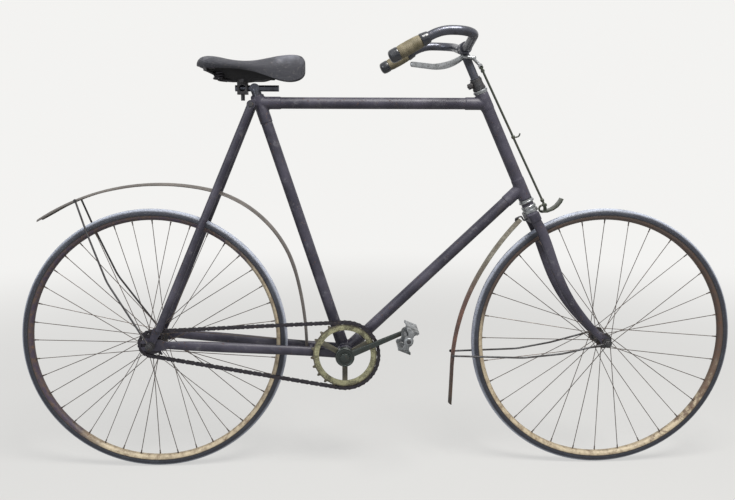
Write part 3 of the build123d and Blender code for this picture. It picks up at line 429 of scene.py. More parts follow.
collar_band = turned("collar_band", (
    (747.0, 11.1), (747.0, 15.0), (747.8, 15.5), (752.0, 15.5), (752.6, 14.9), (762.0, 14.9),
    (762.6, 15.5), (767.0, 15.5), (767.9, 14.6), (767.9, 11.1),
), steer(0), steer_up)
ears = []
for y in (-4.6, 4.6):
    ear = bar(steer(757.0, -13.0, y), steer(757.0, -24.5, y), 7.5, 24)
    altered(ear, "BEVEL", width=0.0012, segments=2)
    ears.append(altered(ear, "DECIMATE", decimate_type="DISSOLVE", angle_limit=radians(1)))
collar_bolt = nuts(steer(757.0, -20.5), 8.5, 4.6, 4.5)
bolt_shank = bar(steer(757.0, -20.5, -8.6), steer(757.0, -20.5, 8.6), 2.6, 16)
collar_pieces = [adjusting_cone, collar_band, bolt_shank, *ears, *collar_bolt]
head_collar = joined("head_collar_body", collar_pieces)
fitted(head_collar, "steering", "dull_steel", dull_steel, "head_collar")


# Fork: a forged crown on the steerer, brazed over the tops of two tapered blades, with a race
# ring bright from turning under the lower cup.
def bevelled(piece, width, segments=2, corner=50):
    """Takes the sharp edges off a piece, over a width in millimetres."""
    limit = {"limit_method": "ANGLE", "angle_limit": radians(corner)}
    return altered(piece, "BEVEL", width=width / 1000, segments=segments, **limit)


def eased(name, node, width, segments=2):
    """A copy of one of the model's nodes with its sharp edges taken off."""
    piece = bpy.data.objects.new(name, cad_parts[node].data.copy())
    bpy.context.collection.objects.link(piece)
    picked(piece)
    cleaned(1e-5, 0.4)
    bevelled(piece, width, segments, 35)
    bpy.ops.object.shade_smooth_by_angle(angle=radians(35))
    return piece


crown = eased("fork_crown_body", "fork_crown", 2.6, 4)
fitted(crown, "steering", "frame_enamel", frame_enamel, "fork_crown")
crown_race = turned("crown_race", (
    (392.1, 16.2), (392.1, 19.4), (393.1, 20.4), (400.2, 20.4), (401.4, 19.2), (402.0, 17.9),
    (404.0, 17.7), (404.8, 18.6), (406.0, 19.3), (410.6, 19.3), (411.8, 18.4), (412.6, 17.4),
    (412.6, 16.2),
), steer(0), steer_up)
fitted(crown_race, "steering", "dull_steel", bright_nickel)

# Seat pin and saddle clip: a plated steel pin with a level arm, and a clip of pressed steel
# whose bolt draws the saddle's wires down on the arm.
seat_pin = eased("seat_pin_body", "seat_pin", 1.2, 3)
fitted(seat_pin, "frame", "dull_steel", stem_nickel, "seat_pin")
clip = eased("saddle_clip_body", "saddle_clip", 1.4, 3)
fitted(clip, "frame", "dull_steel", dull_steel, "saddle_clip")
clip_nuts = joined("clip_nuts", nuts(place(243.04, 1028.0), 25.2, 8.0, 7.0))
fitted(clip_nuts, "frame", "dull_steel", dull_steel)
wires = eased("saddle_wires", "saddle_frame", 0.6, 1)
fitted(wires, "frame", "dull_steel", dull_steel, "saddle_frame")


# Saddle: one hide of thick leather, wetted and stretched over the wires, riveted at the back and
# the nose. It has gone hard and grey-black, worn smooth on top and cracked at the sides. Its paler
# top is partly wear and partly a painted highlight.
def leather_finish(name, dark, pale, fleck):
    finish = Finish(name)
    wide = finish.noise(22, 5, 0.6)
    grain = finish.cells(620, "DISTANCE_TO_EDGE")
    creases = finish.noise(64, 8, 0.75, finish.stretched((1.0, 2.4, 1.6)))
    cracks = finish.between(creases, 0.47, 0.53)
    # Paler towards the top: partly wear and partly a painted highlight of the light from above.
    worn = finish.between(wide * 0.7 + finish.height() * 6.0, 0.28, 0.62)
    flecks = finish.between(finish.noise(90, 6, 0.7), 0.54, 0.74)
    colour = finish.layered(dark, (worn, pale), (flecks * 0.4, fleck))
    roughness = 0.56 - worn * 0.18 + wide * 0.12
    relief = finish.between(grain, 0.0, 0.14) * 0.35 + cracks * 0.4 + wide * 0.8
    finish.surface(colour, roughness, relief, 0.0009)
    return finish


arm_up = 1008.0


def seat(along, rise, y):
    """A point given in millimetres ahead of the rider's place, over the arm and to the left."""
    return place(zero_ahead + along, arm_up + rise, y)


def draped(name, stations, rows, shape):
    """A sheet over stations along the saddle. The shape is a function that puts a share of the
    way across, -0.5 to 0.5, in its place at a station."""
    picked()
    spans = len(stations) - 1
    bpy.ops.mesh.primitive_grid_add(
        x_subdivisions=spans, y_subdivisions=rows, size=1, location=(0, 0, 0),
    )
    sheet = named(name)
    for vertex in sheet.data.vertices:
        vertex.co = shape(vertex.co.y, *stations[round((vertex.co.x + 0.5) * spans)])
    return altered(sheet, "SUBSURF", levels=2, render_levels=2)


def thickened(sheet, thickness, offset, edge):
    """Gives a sheet its thickness and its rounded edge, both in millimetres."""
    altered(sheet, "SOLIDIFY", thickness=thickness / 1000, offset=offset)
    bevelled(sheet, edge)
    cleaned()
    bpy.ops.object.shade_smooth_by_angle(angle=radians(40))
    return sheet


def hide_shape(share, along, half, crest, skirt):
    turn = share * 2
    side = sin(turn * pi / 2) * (1 - 0.06 * turn ** 4)
    lean = 1.0 - 0.10 * max(0.0, abs(turn) - 0.7) / 0.3
    return seat(along, crest - (crest - skirt) * abs(turn) ** 2.3, half * side * lean)


# The pale colour is partly worn leather and partly a painted bluish highlight on the top.
saddle_leather = leather_finish(
    "saddle_leather", (0.04, 0.041, 0.052), (0.2, 0.208, 0.25), (0.24, 0.22, 0.2),
)
saddle_stations = (
    # ahead of the rider's place, half width, heights of the crest and of the skirt's edge
    (-81.0, 22.0, 61.0, 54.0), (-77.0, 46.0, 68.0, 52.0), (-68.0, 68.0, 74.0, 50.0),
    (-52.0, 88.0, 75.5, 48.0), (-30.0, 100.0, 73.0, 48.0), (-6.0, 96.0, 67.0, 48.0),
    (20.0, 80.0, 63.5, 47.5), (46.0, 61.0, 63.5, 44.0), (74.0, 46.0, 67.5, 36.5),
    (102.0, 37.0, 74.0, 26.0), (130.0, 32.0, 79.0, 18.0), (154.0, 29.5, 81.0, 17.0),
    (172.0, 27.0, 79.0, 22.0), (180.0, 21.0, 73.0, 31.0), (182.5, 10.0, 66.0, 40.0),
)
saddle = draped("saddle_hide", saddle_stations, 20, hide_shape)
thickened(saddle, 4.2, 1.0, 1.0)
fitted(saddle, "frame", "saddle_leather", saddle_leather, "saddle")

# Saddle flaps: the lower edges of the hide, folded and tucked in to the wires on both sides.
# Their near-black colour is painted shade, standing for the dark under the saddle.
# Flap leather: near-black colours that are painted shade, not the leather's own colour.
flap_painted_shade = leather_finish(
    "flap_painted_shade", (0.003, 0.003, 0.005), (0.008, 0.008, 0.012), (0.012, 0.01, 0.009),
)
flap_stations = (
    # ahead of the rider's place, half width and height of the upper edge, then of the lower one
    (-66.0, 50.0, 54.0, 44.0, 49.0), (-48.0, 66.0, 51.0, 42.0, 41.5),
    (-26.0, 74.0, 52.0, 38.0, 31.0), (0.0, 66.0, 50.5, 31.0, 20.0),
    (28.0, 53.0, 49.0, 27.0, 14.5), (54.0, 41.0, 44.5, 25.0, 16.5),
    (80.0, 34.0, 37.0, 23.0, 23.0), (108.0, 29.0, 28.0, 21.0, 21.5),
)


def flap_shape(share, along, half, high, inner, low):
    part = share + 0.5
    reach = half + (inner - half) * part ** 0.7
    return seat(along, high + (low - high) * part, reach)


flaps = []
for sign in (-1, 1):
    stations = []
    for along, half, high, inner, low in flap_stations:
        stations.append((along, sign * half, high, sign * inner, low))
    flaps.append(thickened(draped("saddle_flap", stations, 4, flap_shape), 3.0, 0.0, 0.8))
fitted(joined("saddle_flaps", flaps), "frame", "saddle_leather", flap_painted_shade)


# Under the hide: the rivets that hold it at the back and the nose, a bent cantle plate, and two
# coils of steel wire that carry the back of the hide on the saddle's frame.
def bent(name, route, radius, smooth=True, sides=2, fine=6):
    """A wire bent along points of the machine, its radius in millimetres."""
    drawn(route)
    bpy.ops.object.mode_set(mode="OBJECT")
    bpy.ops.object.convert(target="CURVE")
    curve = bpy.context.object.data
    curve.dimensions = "3D"
    if smooth:
        bpy.ops.object.mode_set(mode="EDIT")
        bpy.ops.curve.select_all(action="SELECT")
        bpy.ops.curve.spline_type_set(type="BEZIER")
        bpy.ops.curve.handle_type_set(type="AUTOMATIC")
        bpy.ops.object.mode_set(mode="OBJECT")
    curve.resolution_u = fine
    curve.bevel_depth = radius / 1000
    curve.bevel_resolution = sides
    curve.use_fill_caps = True
    bpy.ops.object.convert(target="MESH")
    piece = named(name)
    cleaned(1e-6)
    bpy.ops.object.shade_smooth_by_angle(angle=radians(50))
    return settled(piece)


chain_steel = steel_finish(
    "chain_steel", (0.044, 0.041, 0.05), (0.021, 0.019, 0.024), (0.062, 0.04, 0.033), 0.4,
)
rivets = []
for along, out, rise in (
    (-79.0, 14.0, 60.0), (-74.5, 38.0, 61.5), (-64.0, 62.0, 62.5), (-46.0, 82.0, 61.0),
    (176.0, 10.0, 78.5), (165.0, 0.0, 80.6),
):
    for y in (-out, out) if out else (out,):
        rivets.append(turned("rivet", (
            (0, 0), (0, 4.2), (0.7, 3.6), (1.2, 2.0), (1.4, 0),
        ), seat(along, rise, y), (along * 0.4, y, 46.0) if along < 0 else (12.0, y, 30.0), 14, 60))
fitted(joined("saddle_rivets", rivets), "frame", "dull_steel", dull_steel)
springs = []
coil_radius, turn_steps, coil_turns = 11.0, 12, 4
for middle in (-40.0, 40.0):
    turns = []
    for step in range(coil_turns * turn_steps + 1):
        angle = step * 2 * pi / turn_steps
        x, y = coil_radius * cos(angle), coil_radius * sin(angle)
        turns.append(place(186.0 + x + step * 0.15, 1027.0 + step * 0.52, middle + y))
    springs.append(bent("coil", turns, 2.2, sides=1, fine=2))
    springs.append(bent("coil_arm", [
        place(197.0, 1028.0, middle), place(212.0, 1026.5, middle * 0.8),
        place(230.0, 1026.0, middle * 0.5),
    ], 2.4, sides=1))
    springs.append(bar(place(190.0, 1051.0, middle), place(190.0, 1055.0, middle), 14.0, 24))
springs.append(bent("cantle_plate", [
    seat(-30.0, 46.0, -86.0), seat(-55.0, 49.0, -70.0), seat(-70.0, 51.0, -44.0),
    seat(-75.0, 55.0, 0.0),
    seat(-70.0, 51.0, 44.0), seat(-55.0, 49.0, 70.0), seat(-30.0, 46.0, 86.0),
], 3.2))
fitted(joined("saddle_springs", springs), "frame", "dull_steel", chain_steel)


# Mudguards: thin crowned strips of rolled steel with beaded edges, bolted to their wire stays.
# The rear one keeps its dull enamel. The front one is grey-olive at its top, rusted red brown in
# the middle and near black at its foot.
def guard_points(start, heading, arcs):
    """Points along a mudguard's crown, four to each of the arcs that follow one another."""
    x, z = start
    points = [start]
    for radius, turn in arcs:
        first = radians(heading - 90 if turn > 0 else heading + 90)
        middle_x, middle_z = x - cos(first) * radius, z - sin(first) * radius
        for step in range(1, 5):
            angle = first + radians(turn) * step / 4
            x, z = middle_x + cos(angle) * radius, middle_z + sin(angle) * radius
            points.append((x, z))
        heading += turn
    return points


def rusted_finish():
    finish = Finish("guard_rust")
    wide = finish.noise(26, 6, 0.7)
    fine = finish.noise(210, 6, 0.7)
    up = finish.height() + (wide - 0.5) * 0.08
    flakes = finish.between(wide * 0.6 + fine * 0.4, 0.46, 0.58)
    brown = finish.layered((0.1, 0.055, 0.045), (flakes, (0.2, 0.098, 0.07)))
    olive = finish.layered((0.13, 0.115, 0.09), (flakes, (0.25, 0.235, 0.19)))
    black = finish.layered((0.03, 0.022, 0.017), (flakes, (0.075, 0.05, 0.034)))
    colour = finish.layered(
        black, (finish.between(up, -0.9, -0.74), brown), (finish.between(up, -0.64, -0.52), olive),
        (finish.between(fine, 0.6, 0.7) * 0.6, (0.13, 0.06, 0.035)),
    )
    finish.surface(colour, 0.5 + fine * 0.25, fine * 0.5 + flakes * 0.4, 0.0005)
    return finish


guard_enamel = enamel_finish(
    "guard_enamel", (0.07, 0.06, 0.055), (0.125, 0.11, 0.1), (0.2, 0.19, 0.17), 0.3,
)
guard_enamel.dress("rear_mudguard")
guard_rust = rusted_finish()
guard_rust.dress("front_mudguard")
guards = (
    # name, body, finish, slot, axle, then from the axle: start of the crown, heading, arcs, bolt
    ("rear", "frame", guard_enamel, "guard_enamel", rear_axle, (405.0, -36.0), 89.8,
     ((847.7, 15.1), (304.7, 63.5), (584.3, 44.5)), (-187.0, 373.0)),
    ("front", "steering", guard_rust, "guard_rust", front_axle, (-409.1, -179.5), 87.6,
     ((10000.0, 0.62), (551.2, -25.8), (702.9, -15.8)), (-401.0, -43.0)),
)
for name, body, finish, slot, axle, start, heading, arcs, bolt in guards:
    edge = []
    for x, z in guard_points(start, heading, arcs):
        share = 1 - 5.6 / hypot(x, z)
        edge.append((axle[0] + x * share, axle[1] + z * share))
    beads = [bent("bead", [place(x, z, y) for x, z in edge], 1.3) for y in (-21.6, 21.6)]
    fitted(joined(name + "_guard_beads", beads), body, slot, finish)
    bolts = nuts(place(axle[0] + bolt[0], axle[1] + bolt[1]), 27.0, 3.6, 2.8)
    fitted(joined(name + "_guard_bolts", bolts), body, "dull_steel", dull_steel)

# Front mudguard bracket: a short strap of bent steel from behind the crown, bolted on top of the
# strip's upper end.
bracket_strap = joined("front_guard_bracket", [
    bent("strap", [
        steer(380.0, -16.5), steer(379.0, -24.0), place(967.0, 678.5), place(952.0, 667.5),
    ], 2.2),
    nut(place(956.0, 672.6), (-0.58, 0, 0.81), 4.0, 3.0),
])
fitted(bracket_strap, "steering", "dull_steel", dull_steel)


# Tyres: solid old rubber, its crown worn smooth and pale lilac grey, partly bloom and partly a
# painted highlight. Fine cracks run over the sides, and a dark line of dirt and painted shade lies
# where the rubber meets the rim.
def tyre_finish(name, axle):
    finish = Finish(name)
    reach = finish.reach(axle)
    wide = finish.noise(15, 5, 0.6)
    fine = finish.noise(240, 5, 0.7)
    crazing = finish.cells(190, "DISTANCE_TO_EDGE", finish.stretched((1.0, 0.5, 1.0)))
    crack = finish.between(crazing, 0.0, 0.06)
    # The pale crown is partly bloom and partly a painted highlight of the crown's sheen.
    crown = finish.between(reach + (wide - 0.5) * 0.005, 0.3412, 0.3488)
    # A dark line where the rubber meets the rim: dirt, and painted shade in the crevice.
    seam_dirt_and_shade = 1 - finish.between(reach + (fine - 0.5) * 0.002, 0.3322, 0.3345)
    colour = finish.layered(
        (0.022, 0.025, 0.038), (crown, (0.5, 0.54, 0.65)),
        (finish.between(wide, 0.46, 0.7) * 0.4, (0.075, 0.088, 0.11)),
        (finish.between(fine, 0.56, 0.7) * 0.25, (0.13, 0.125, 0.125)),
        ((1 - crack) * 0.5, (0.045, 0.045, 0.05)), (seam_dirt_and_shade, (0.022, 0.02, 0.02)),
    )
    roughness = 0.42 + wide * 0.2 + seam_dirt_and_shade * 0.3
    finish.surface(colour, roughness, fine * 0.5 + crack * 0.5 + wide * 0.6, 0.0006)
    return finish


# From the seat in the rim over the crown and back, in steps of 5 degrees, with five worn ribs.
tyre_outline = []
for degree in range(-150, 151, 5):
    radius = 13.05 if abs(degree) <= 35 and degree % 15 == 0 else 13.4
    angle = radians(degree)
    tyre_outline.append((radius * sin(angle), 336.5 + radius * cos(angle)))
wheels = (("rear", "rear_wheel", rear_axle), ("front", "front_wheel", front_axle))
for name, body, axle in wheels:
    tyre = turned(name + "_tyre_rubber", tyre_outline, place(*axle), steps=144, ease=40)
    rubber = tyre_finish(name + "_tyre", place(*axle))
    fitted(tyre, body, "tyre_rubber", rubber, name + "_tyre")


# Rims: rolled steel hoops with beaded edges and a round belly. Each is cream towards one side and
# brown towards the other, and rust shows through both from the spoke holes.
def rim_finish(name, axle, pale_way, brown, rusty_way):
    finish = Finish(name)
    arm = finish.vector("SUBTRACT", finish.spot, axle)
    pale_side = finish.vector("DOT_PRODUCT", arm, pale_way, 1)
    rust_side = finish.vector("DOT_PRODUCT", arm, rusty_way, 1)
    reach = finish.reach(axle)
    wide = finish.noise(12, 5, 0.6)
    middle = finish.noise(60, 6, 0.65)
    fine = finish.noise(300, 5, 0.7)
    pale = finish.between(pale_side + (wide - 0.5) * 0.35 + (middle - 0.5) * 0.1, -0.04, 0.12)
    stain, wear = finish.between(middle, 0.42, 0.62), finish.between(middle, 0.4, 0.64)
    cream = finish.layered((0.56, 0.47, 0.33), (stain, (0.36, 0.29, 0.2)))
    dark = finish.layered(brown, (wear, (0.09, 0.062, 0.052)))
    rusted = finish.between(rust_side * 0.5 + middle * 0.5 + (wide - 0.5) * 0.2, 0.33, 0.43)
    spots = finish.between(fine * 0.5 + middle * 0.5, 0.56, 0.63)
    # A dark line at the rim's edge under the tyre: dirt, and painted shade in the crevice.
    seam_dirt_and_shade = finish.between(reach + (fine - 0.5) * 0.0016, 0.3296, 0.3312)
    hollow = 1 - finish.between(reach, 0.3203, 0.3225)
    colour = finish.layered(
        dark, (pale, cream), (rusted * 0.8, (0.105, 0.062, 0.045)),
        (spots * 0.7, (0.16, 0.07, 0.035)), (seam_dirt_and_shade * 0.8 + hollow * 0.35, (0.06, 0.042, 0.032)),
    )
    roughness = 0.44 + fine * 0.2 + spots * 0.2
    finish.surface(colour, roughness, fine * 0.4 + spots * 0.5, 0.0005)
    return finish


rim_outline = [(-12.3, 331.6)]
for degree in (60, 0, -60):
    side, rise = cos(radians(degree)), sin(radians(degree))
    rim_outline.append((-11.6 - 1.1 * side, 331.4 + 1.1 * rise))
rim_outline += [(-12.2, 328.6), (-11.4, 326.3), (-9.6, 323.9), (-7.2, 322.0), (-4.0, 320.5)]
rim_outline += [(0.0, 320.0), *[(-side, reach) for side, reach in reversed(rim_outline)]]
rim_outline += [(side, 337.2 - sqrt(14.5 ** 2 - side ** 2)) for side in (8.0, 4.0, 0.0, -4.0, -8.0)]
rim_looks = {
    # the way to the paler side, the brown of the other side, the way to the rustier side
    "rear": ((0.75, 0.0, -0.65), (0.05, 0.036, 0.06), (-0.3, 0.0, 0.1)),
    "front": ((-0.25, 0.0, -0.95), (0.085, 0.06, 0.052), (0.95, 0.0, -0.1)),
}
for name, body, axle in wheels:
    rim = turned(name + "_rim_hoop", rim_outline, place(*axle), steps=144, ease=40)
    rim_rust = rim_finish(name + "_rim", place(*axle), *rim_looks[name])
    fitted(rim, body, "rim_rust", rim_rust, name + "_rim")


# Hubs: turned from bar with a drilled flange at each end, ball cups in the ends, and a spring
# band over the oil hole in the middle.
def hub_outline(left, right, flange, left_end, right_end):
    halves = []
    for out, at, end in ((-1, -right, -right_end), (1, left, left_end)):
        halves.append([
            (end, 5.4), (end, 12.2), (end - out * 1.2, 13.6), (end - out * 4.0, 14.0),
            (at + out * 2.1, 13.2), (at + out * 2.0, flange - 1.2), (at + out * 1.2, flange),
            (at - out * 1.2, flange), (at - out * 2.0, flange - 1.2), (at - out * 2.3, 15.2),
            (at - out * 5.0, 13.2), (out * 11.0, 12.4), (out * 8.5, 12.4), (out * 8.3, 13.2),
            (out * 7.8, 13.4),
        ])
    return halves[0] + halves[1][::-1]


# Left and right flanges out from the middle, the flanges' radius, left and right ends.
hub_sizes = {"rear": (36.0, 30.0, 25.0, 50.0, 40.0), "front": (34.0, 34.0, 21.0, 43.0, 43.0)}
for name, body, axle in wheels:
    outline = hub_outline(*hub_sizes[name])
    hub = turned(name + "_hub_barrel", outline, place(*axle), ease=28)
    fitted(hub, body, "dull_steel", dull_steel, name + "_hub")


# Spokes: butted wire with a bent head in the flange, laced tangent, 40 behind and 32 in front.
# Each is screwed into a small turned nipple at the rim.
def copied(pattern, where):
    picked(pattern)
    bpy.ops.object.duplicate()
    piece = bpy.context.object
    piece.matrix_world = where
    return settled(piece)


def about(axle, reach, angle, y):
    """A point so many millimetres out from an axle, its angle measured up from straight ahead."""
    return place(axle[0] + reach * cos(angle), axle[1] + reach * sin(angle), y)


spoke_wire = steel_finish(
    "spoke_wire", (0.12, 0.1, 0.09), (0.065, 0.048, 0.04), (0.13, 0.065, 0.035), 0.42,
)
nipple = turned("nipple_pattern", (
    (0, 0), (0, 1.3), (0.8, 1.6), (1.6, 1.7), (7.6, 1.7), (8.2, 2.3), (9.6, 2.3), (10.2, 1.8),
    (10.2, 0),
), Vector((0, 0, 0)), (0, 0, 1), 8, 40)
lacing, hole_reach = 6, 319.6  # spokes between a head and its rim hole, and the holes' radius
for (name, body, axle), count in zip(wheels, (40, 32)):
    left, right, flange = hub_sizes[name][:3]
    wires_laced = []
    nipples = []
    for index in range(count):
        side = 1 if index % 2 == 0 else -1
        lean = 1 if index // 2 % 2 == 0 else -1
        rim_angle = index * 2 * pi / count
        hub_angle = rim_angle + lean * lacing * 2 * pi / count
        flange_y = left if side == 1 else -right
        head = about(axle, flange - 2.6, hub_angle, flange_y - lean * 3.0)
        elbow = about(axle, flange - 2.6, hub_angle, flange_y + lean * 2.6)
        hole = about(axle, hole_reach, rim_angle, side * 3.0)
        wires_laced.append(bent("spoke", [head, elbow, hole], 1.0, smooth=False, sides=1))
        foot = hole + (elbow - hole).normalized() * 0.0101
        nipples.append(copied(nipple, aimed(foot, hole - elbow)))
    spokes = joined(name + "_spoke_wires", wires_laced)
    fitted(spokes, body, "spoke_wire", spoke_wire, name + "_spokes")
    fitted(joined(name + "_nipples", nipples), body, "spoke_wire", spoke_wire)
bpy.data.objects.remove(nipple)


# Axles: threaded steel with a cone and a nut outside each fork end. The mudguard stays' eyes go
# on last, under a thin domed nut.
def axle_outline(reach):
    half = [(reach, 0), (reach, 3.8), (reach - 0.8, 4.5)]
    half += [(reach - 1.4 - 0.7 * turn, 4.75 if turn % 2 == 0 else 4.35) for turn in range(14)]
    half.append((reach - 12.0, 4.8))
    return [(-along, out) for along, out in half] + half[::-1]


for name, body, axle, reach, nut_face, eye_face, cone_face in (
    ("rear", "frame", rear_axle, 85.0, 65.2, 81.0, 54.9),
    ("front", "steering", front_axle, 75.5, 54.1, 69.9, 47.9),
):
    spot = place(*axle)
    pieces = [turned("axle", axle_outline(reach), spot, steps=24, ease=20)]
    pieces += nuts(spot, nut_face, 10.0, 9.9)
    for sign in (-1, 1):
        way = across * sign
        pieces.append(turned("outer_nut", (
            (0, 4.0), (0, 8.4), (0.6, 9.0), (2.4, 9.0), (3.2, 7.8), (3.2, 4.0),
        ), spot + way * eye_face / 1000, way, 6, 20))
        pieces.append(turned("cone", (
            (0, 4.0), (0, 8.0), (-2.0, 8.0), (-2.6, 7.2), (-2.9, 5.6), (-2.9, 4.0),
        ), spot + way * cone_face / 1000, way, 24, 20))
    fitted(joined(name + "_axle_set", pieces), body, "dull_steel", dull_steel, name + "_spindle")


# Chain: a block chain of one-inch pitch. Solid steel blocks are joined by pairs of waisted side
# plates on riveted pins, all of it dark with old oil.
def stamped(name, outline, thickness, edge=0.0):
    """A flat piece stamped from sheet: its outline lies flat, its thickness is up, both in
    millimetres."""
    drawn([Vector((x, z, 0)) / 1000 for x, z in outline])
    bpy.ops.mesh.edge_face_add()
    bpy.ops.mesh.extrude_region_move(TRANSFORM_OT_translate={"value": (0, 0, thickness / 1000)})
    cleaned()
    piece = named(name)
    if edge:
        bevelled(piece, edge)
    bpy.ops.object.shade_smooth_by_angle(angle=radians(40))
    return piece


def lobed(name, half_length, radius, waist, low, thickness, edge=0.0):
    """A stamping in a figure of eight: two round ends and a waist, its lower face at a height."""
    ends = []
    for degree in (-80, -40, 0, 40, 80):
        x, z = radius * cos(radians(degree)), radius * sin(radians(degree))
        ends.append((half_length + x, z))
    outline = [*ends, (0.0, waist), *[(-x, -z) for x, z in ends], (0.0, -waist)]
    piece = stamped(name, outline, thickness, edge)
    piece.location = (0, 0, low / 1000)
    return settled(piece)


pitch, link_count, chain_line = 25.4, 55, -44.0
ring_step, sprocket_step = radians(360 / 22), radians(360 / 8)
ring_tooth = radians(4.0)  # where one of the ring's teeth stands
ring_reach = pitch / 2 / sin(ring_step / 2)
sprocket_reach = pitch / 2 / sin(sprocket_step / 2)
run_ahead, run_up = rear_axle[0] - crank_axle[0], rear_axle[1] - crank_axle[1]
back = atan2(run_up, run_ahead)
contact = acos((ring_reach - sprocket_reach) / hypot(run_ahead, run_up))
ring_pitches = (2 * pi - 2 * contact) / ring_step
sprocket_pitches = 2 * contact / sprocket_step
run_pitches = (link_count - ring_pitches - sprocket_pitches) / 2
slack = ring_pitches + run_pitches
first_tooth = ring_tooth + ring_step * ceil((back - contact - ring_tooth) / ring_step - 1)
first_pitch = (back - contact - first_tooth) / ring_step


def on_ring(angle):
    return about(crank_axle, ring_reach, angle, chain_line)


def on_sprocket(angle):
    return about(rear_axle, sprocket_reach, angle, chain_line)


def chain_spot(pitches):
    """A point of the chain's loop, so many pitches on from the ring's upper contact."""
    spot = pitches % link_count
    if spot < ring_pitches:
        return on_ring(back - contact - spot * ring_step)
    if spot < slack:
        angle = back + contact
        return on_ring(angle).lerp(on_sprocket(angle), (spot - ring_pitches) / run_pitches)
    if spot < slack + sprocket_pitches:
        return on_sprocket(back + contact - (spot - slack) * sprocket_step)
    angle = back - contact
    share = (spot - slack - sprocket_pitches) / run_pitches
    return on_sprocket(angle).lerp(on_ring(angle), share)


def away(reach):
    """How many pitches past its contact a wheel's tooth tips still stand in the chain's gaps."""
    tips, inner_side, half_block = reach + 5.2, reach - 4.4, 11.86
    return (sqrt(tips ** 2 - inner_side ** 2) + half_block) / pitch


pieces = [lobed("side_plate", 7.62, 4.9, 4.0, low, 1.5) for low in (-4.4, 2.9)]
for x in (-0.00762, 0.00762):
    for sign in (-1, 1):
        pieces.append(turned("rivet", (
            (0, 0), (0, 2.1), (0.5, 1.7), (0.8, 0),
        ), Vector((x, 0, sign * 0.0044)), (0, 0, sign), 8, 40))
link = joined("link_pattern", pieces)
block = lobed("block_pattern", 4.4, 4.3, 3.7, -2.85, 5.7, 0.4)
cheeks = [lobed("cheek", 5.4, 4.4, 4.0, low, 0.55) for low in (-2.85, 2.3)]
open_block = joined("open_block_pattern", cheeks)
links = []
for index in range(link_count):
    for pattern, shift, spread in ((link, 0.0, 0.3), (block, 0.5, 0.2)):
        spot = (index + first_pitch + shift) % link_count
        on_wheel = (
            spot < ring_pitches + away(ring_reach) or spot > link_count - away(ring_reach)
            or -away(sprocket_reach) < spot - slack < sprocket_pitches + away(sprocket_reach)
        )
        if pattern == block and on_wheel:
            pattern = open_block
        first, last = chain_spot(spot - spread), chain_spot(spot + spread)
        slope = atan2(last.z - first.z, last.x - first.x)
        turn = Matrix.Rotation(-slope, 4, "Y") @ Matrix.Rotation(pi / 2, 4, "X")
        links.append(copied(pattern, Matrix.Translation((first + last) / 2) @ turn))
for pattern in (link, block, open_block):
    bpy.data.objects.remove(pattern)
fitted(joined("chain_links", links), "frame", "chain_steel", chain_steel, "chain")


# Chain ring, sprocket and crank: forged and plated. The nickel on the ring is worn yellow, and
# its arms and the round boss of the crank over them are dark with oil and dust.
def ring_finish():
    finish = Finish("ring_nickel")
    reach = finish.reach(bracket)
    wide = finish.noise(38, 6, 0.65)
    fine = finish.noise(330, 5, 0.7)
    inner = 1 - finish.between(reach + (wide - 0.5) * 0.006, 0.0655, 0.0695)
    oily = finish.between(reach + (fine - 0.5) * 0.003, 0.0785, 0.083)
    dirt = finish.between(wide * 0.6 + fine * 0.4, 0.43, 0.58)
    rusty = finish.between(finish.noise(150, 8, 0.74), 0.56, 0.66)
    colour = finish.layered(
        (0.44, 0.43, 0.27), (dirt, (0.12, 0.115, 0.075)), (inner * 0.85, (0.062, 0.058, 0.052)),
        (oily * 0.8, (0.07, 0.058, 0.048)), (rusty * 0.7, (0.13, 0.07, 0.04)),
    )
    roughness = 0.36 + dirt * 0.2 + inner * 0.1
    metallic = 0.8 - dirt * 0.3 - inner * 0.3
    finish.surface(colour, roughness, fine * 0.4 + rusty * 0.5, 0.0004, metallic)
    return finish


tip_reach = 0.0905
ring = eased("ring_forging", "chainring", 0.5)
for vertex in ring.data.vertices:
    out = Vector((vertex.co.x - bracket.x, vertex.co.z - bracket.z))
    if out.length > tip_reach:
        out *= tip_reach / out.length
        vertex.co.x, vertex.co.z = bracket.x + out.x, bracket.z + out.y
fitted(ring, "crank", "worn_nickel", ring_finish(), "chainring")
sprocket = joined("sprocket_set", [
    eased("sprocket_forging", "rear_sprocket", 0.4),
    turned("sprocket_lock_ring", (
        (46.2, 5.6), (46.2, 17.0), (47.0, 17.8), (49.2, 17.8), (50.0, 17.0), (50.0, 5.6),
    ), place(*rear_axle), (0, -1, 0), 12, 20),
])
fitted(sprocket, "rear_wheel", "worn_nickel", chain_steel, "rear_sprocket")

crank_steel = steel_finish(
    "crank_steel", (0.05, 0.06, 0.058), (0.024, 0.027, 0.024), (0.07, 0.048, 0.032), 0.46,
    0.7, 0.32,
)
crank_arm = joined("crank_arm", [
    eased("crank_forging", "crank", 1.0, 3),
    turned("boss_ring", (
        (64.1, 15.0), (64.7, 15.8), (64.9, 20.5), (65.6, 21.6), (65.6, 23.6), (64.8, 24.6),
        (64.1, 24.6),
    ), bracket, (0, -1, 0), 64),
])
fitted(crank_arm, "crank", "worn_nickel", crank_steel, "crank")
crank_spindle = joined("crank_spindle", [
    eased("spindle_body", "crank_axle", 0.5),
    turned("cap_nut", (
        (64.7, 0), (64.7, 11.0), (65.3, 12.0), (69.6, 12.0), (70.5, 10.4), (70.5, 4.6),
        (69.8, 4.2), (69.8, 0),
    ), bracket, (0, -1, 0), 6, 20),
])
fitted(crank_spindle, "crank", "dull_steel", crank_steel, "crank_axle")


# Pedal: two toothed side plates and two horned end plates, riveted round a turned barrel with a
# dust cap on its outer end.
def laid(piece, spot, *ways):
    """Puts a flat piece at a spot, its own x, y and z along three directions."""
    piece.matrix_world = Matrix.Translation(spot) @ Matrix(ways).transposed().to_4x4()
    return settled(piece)


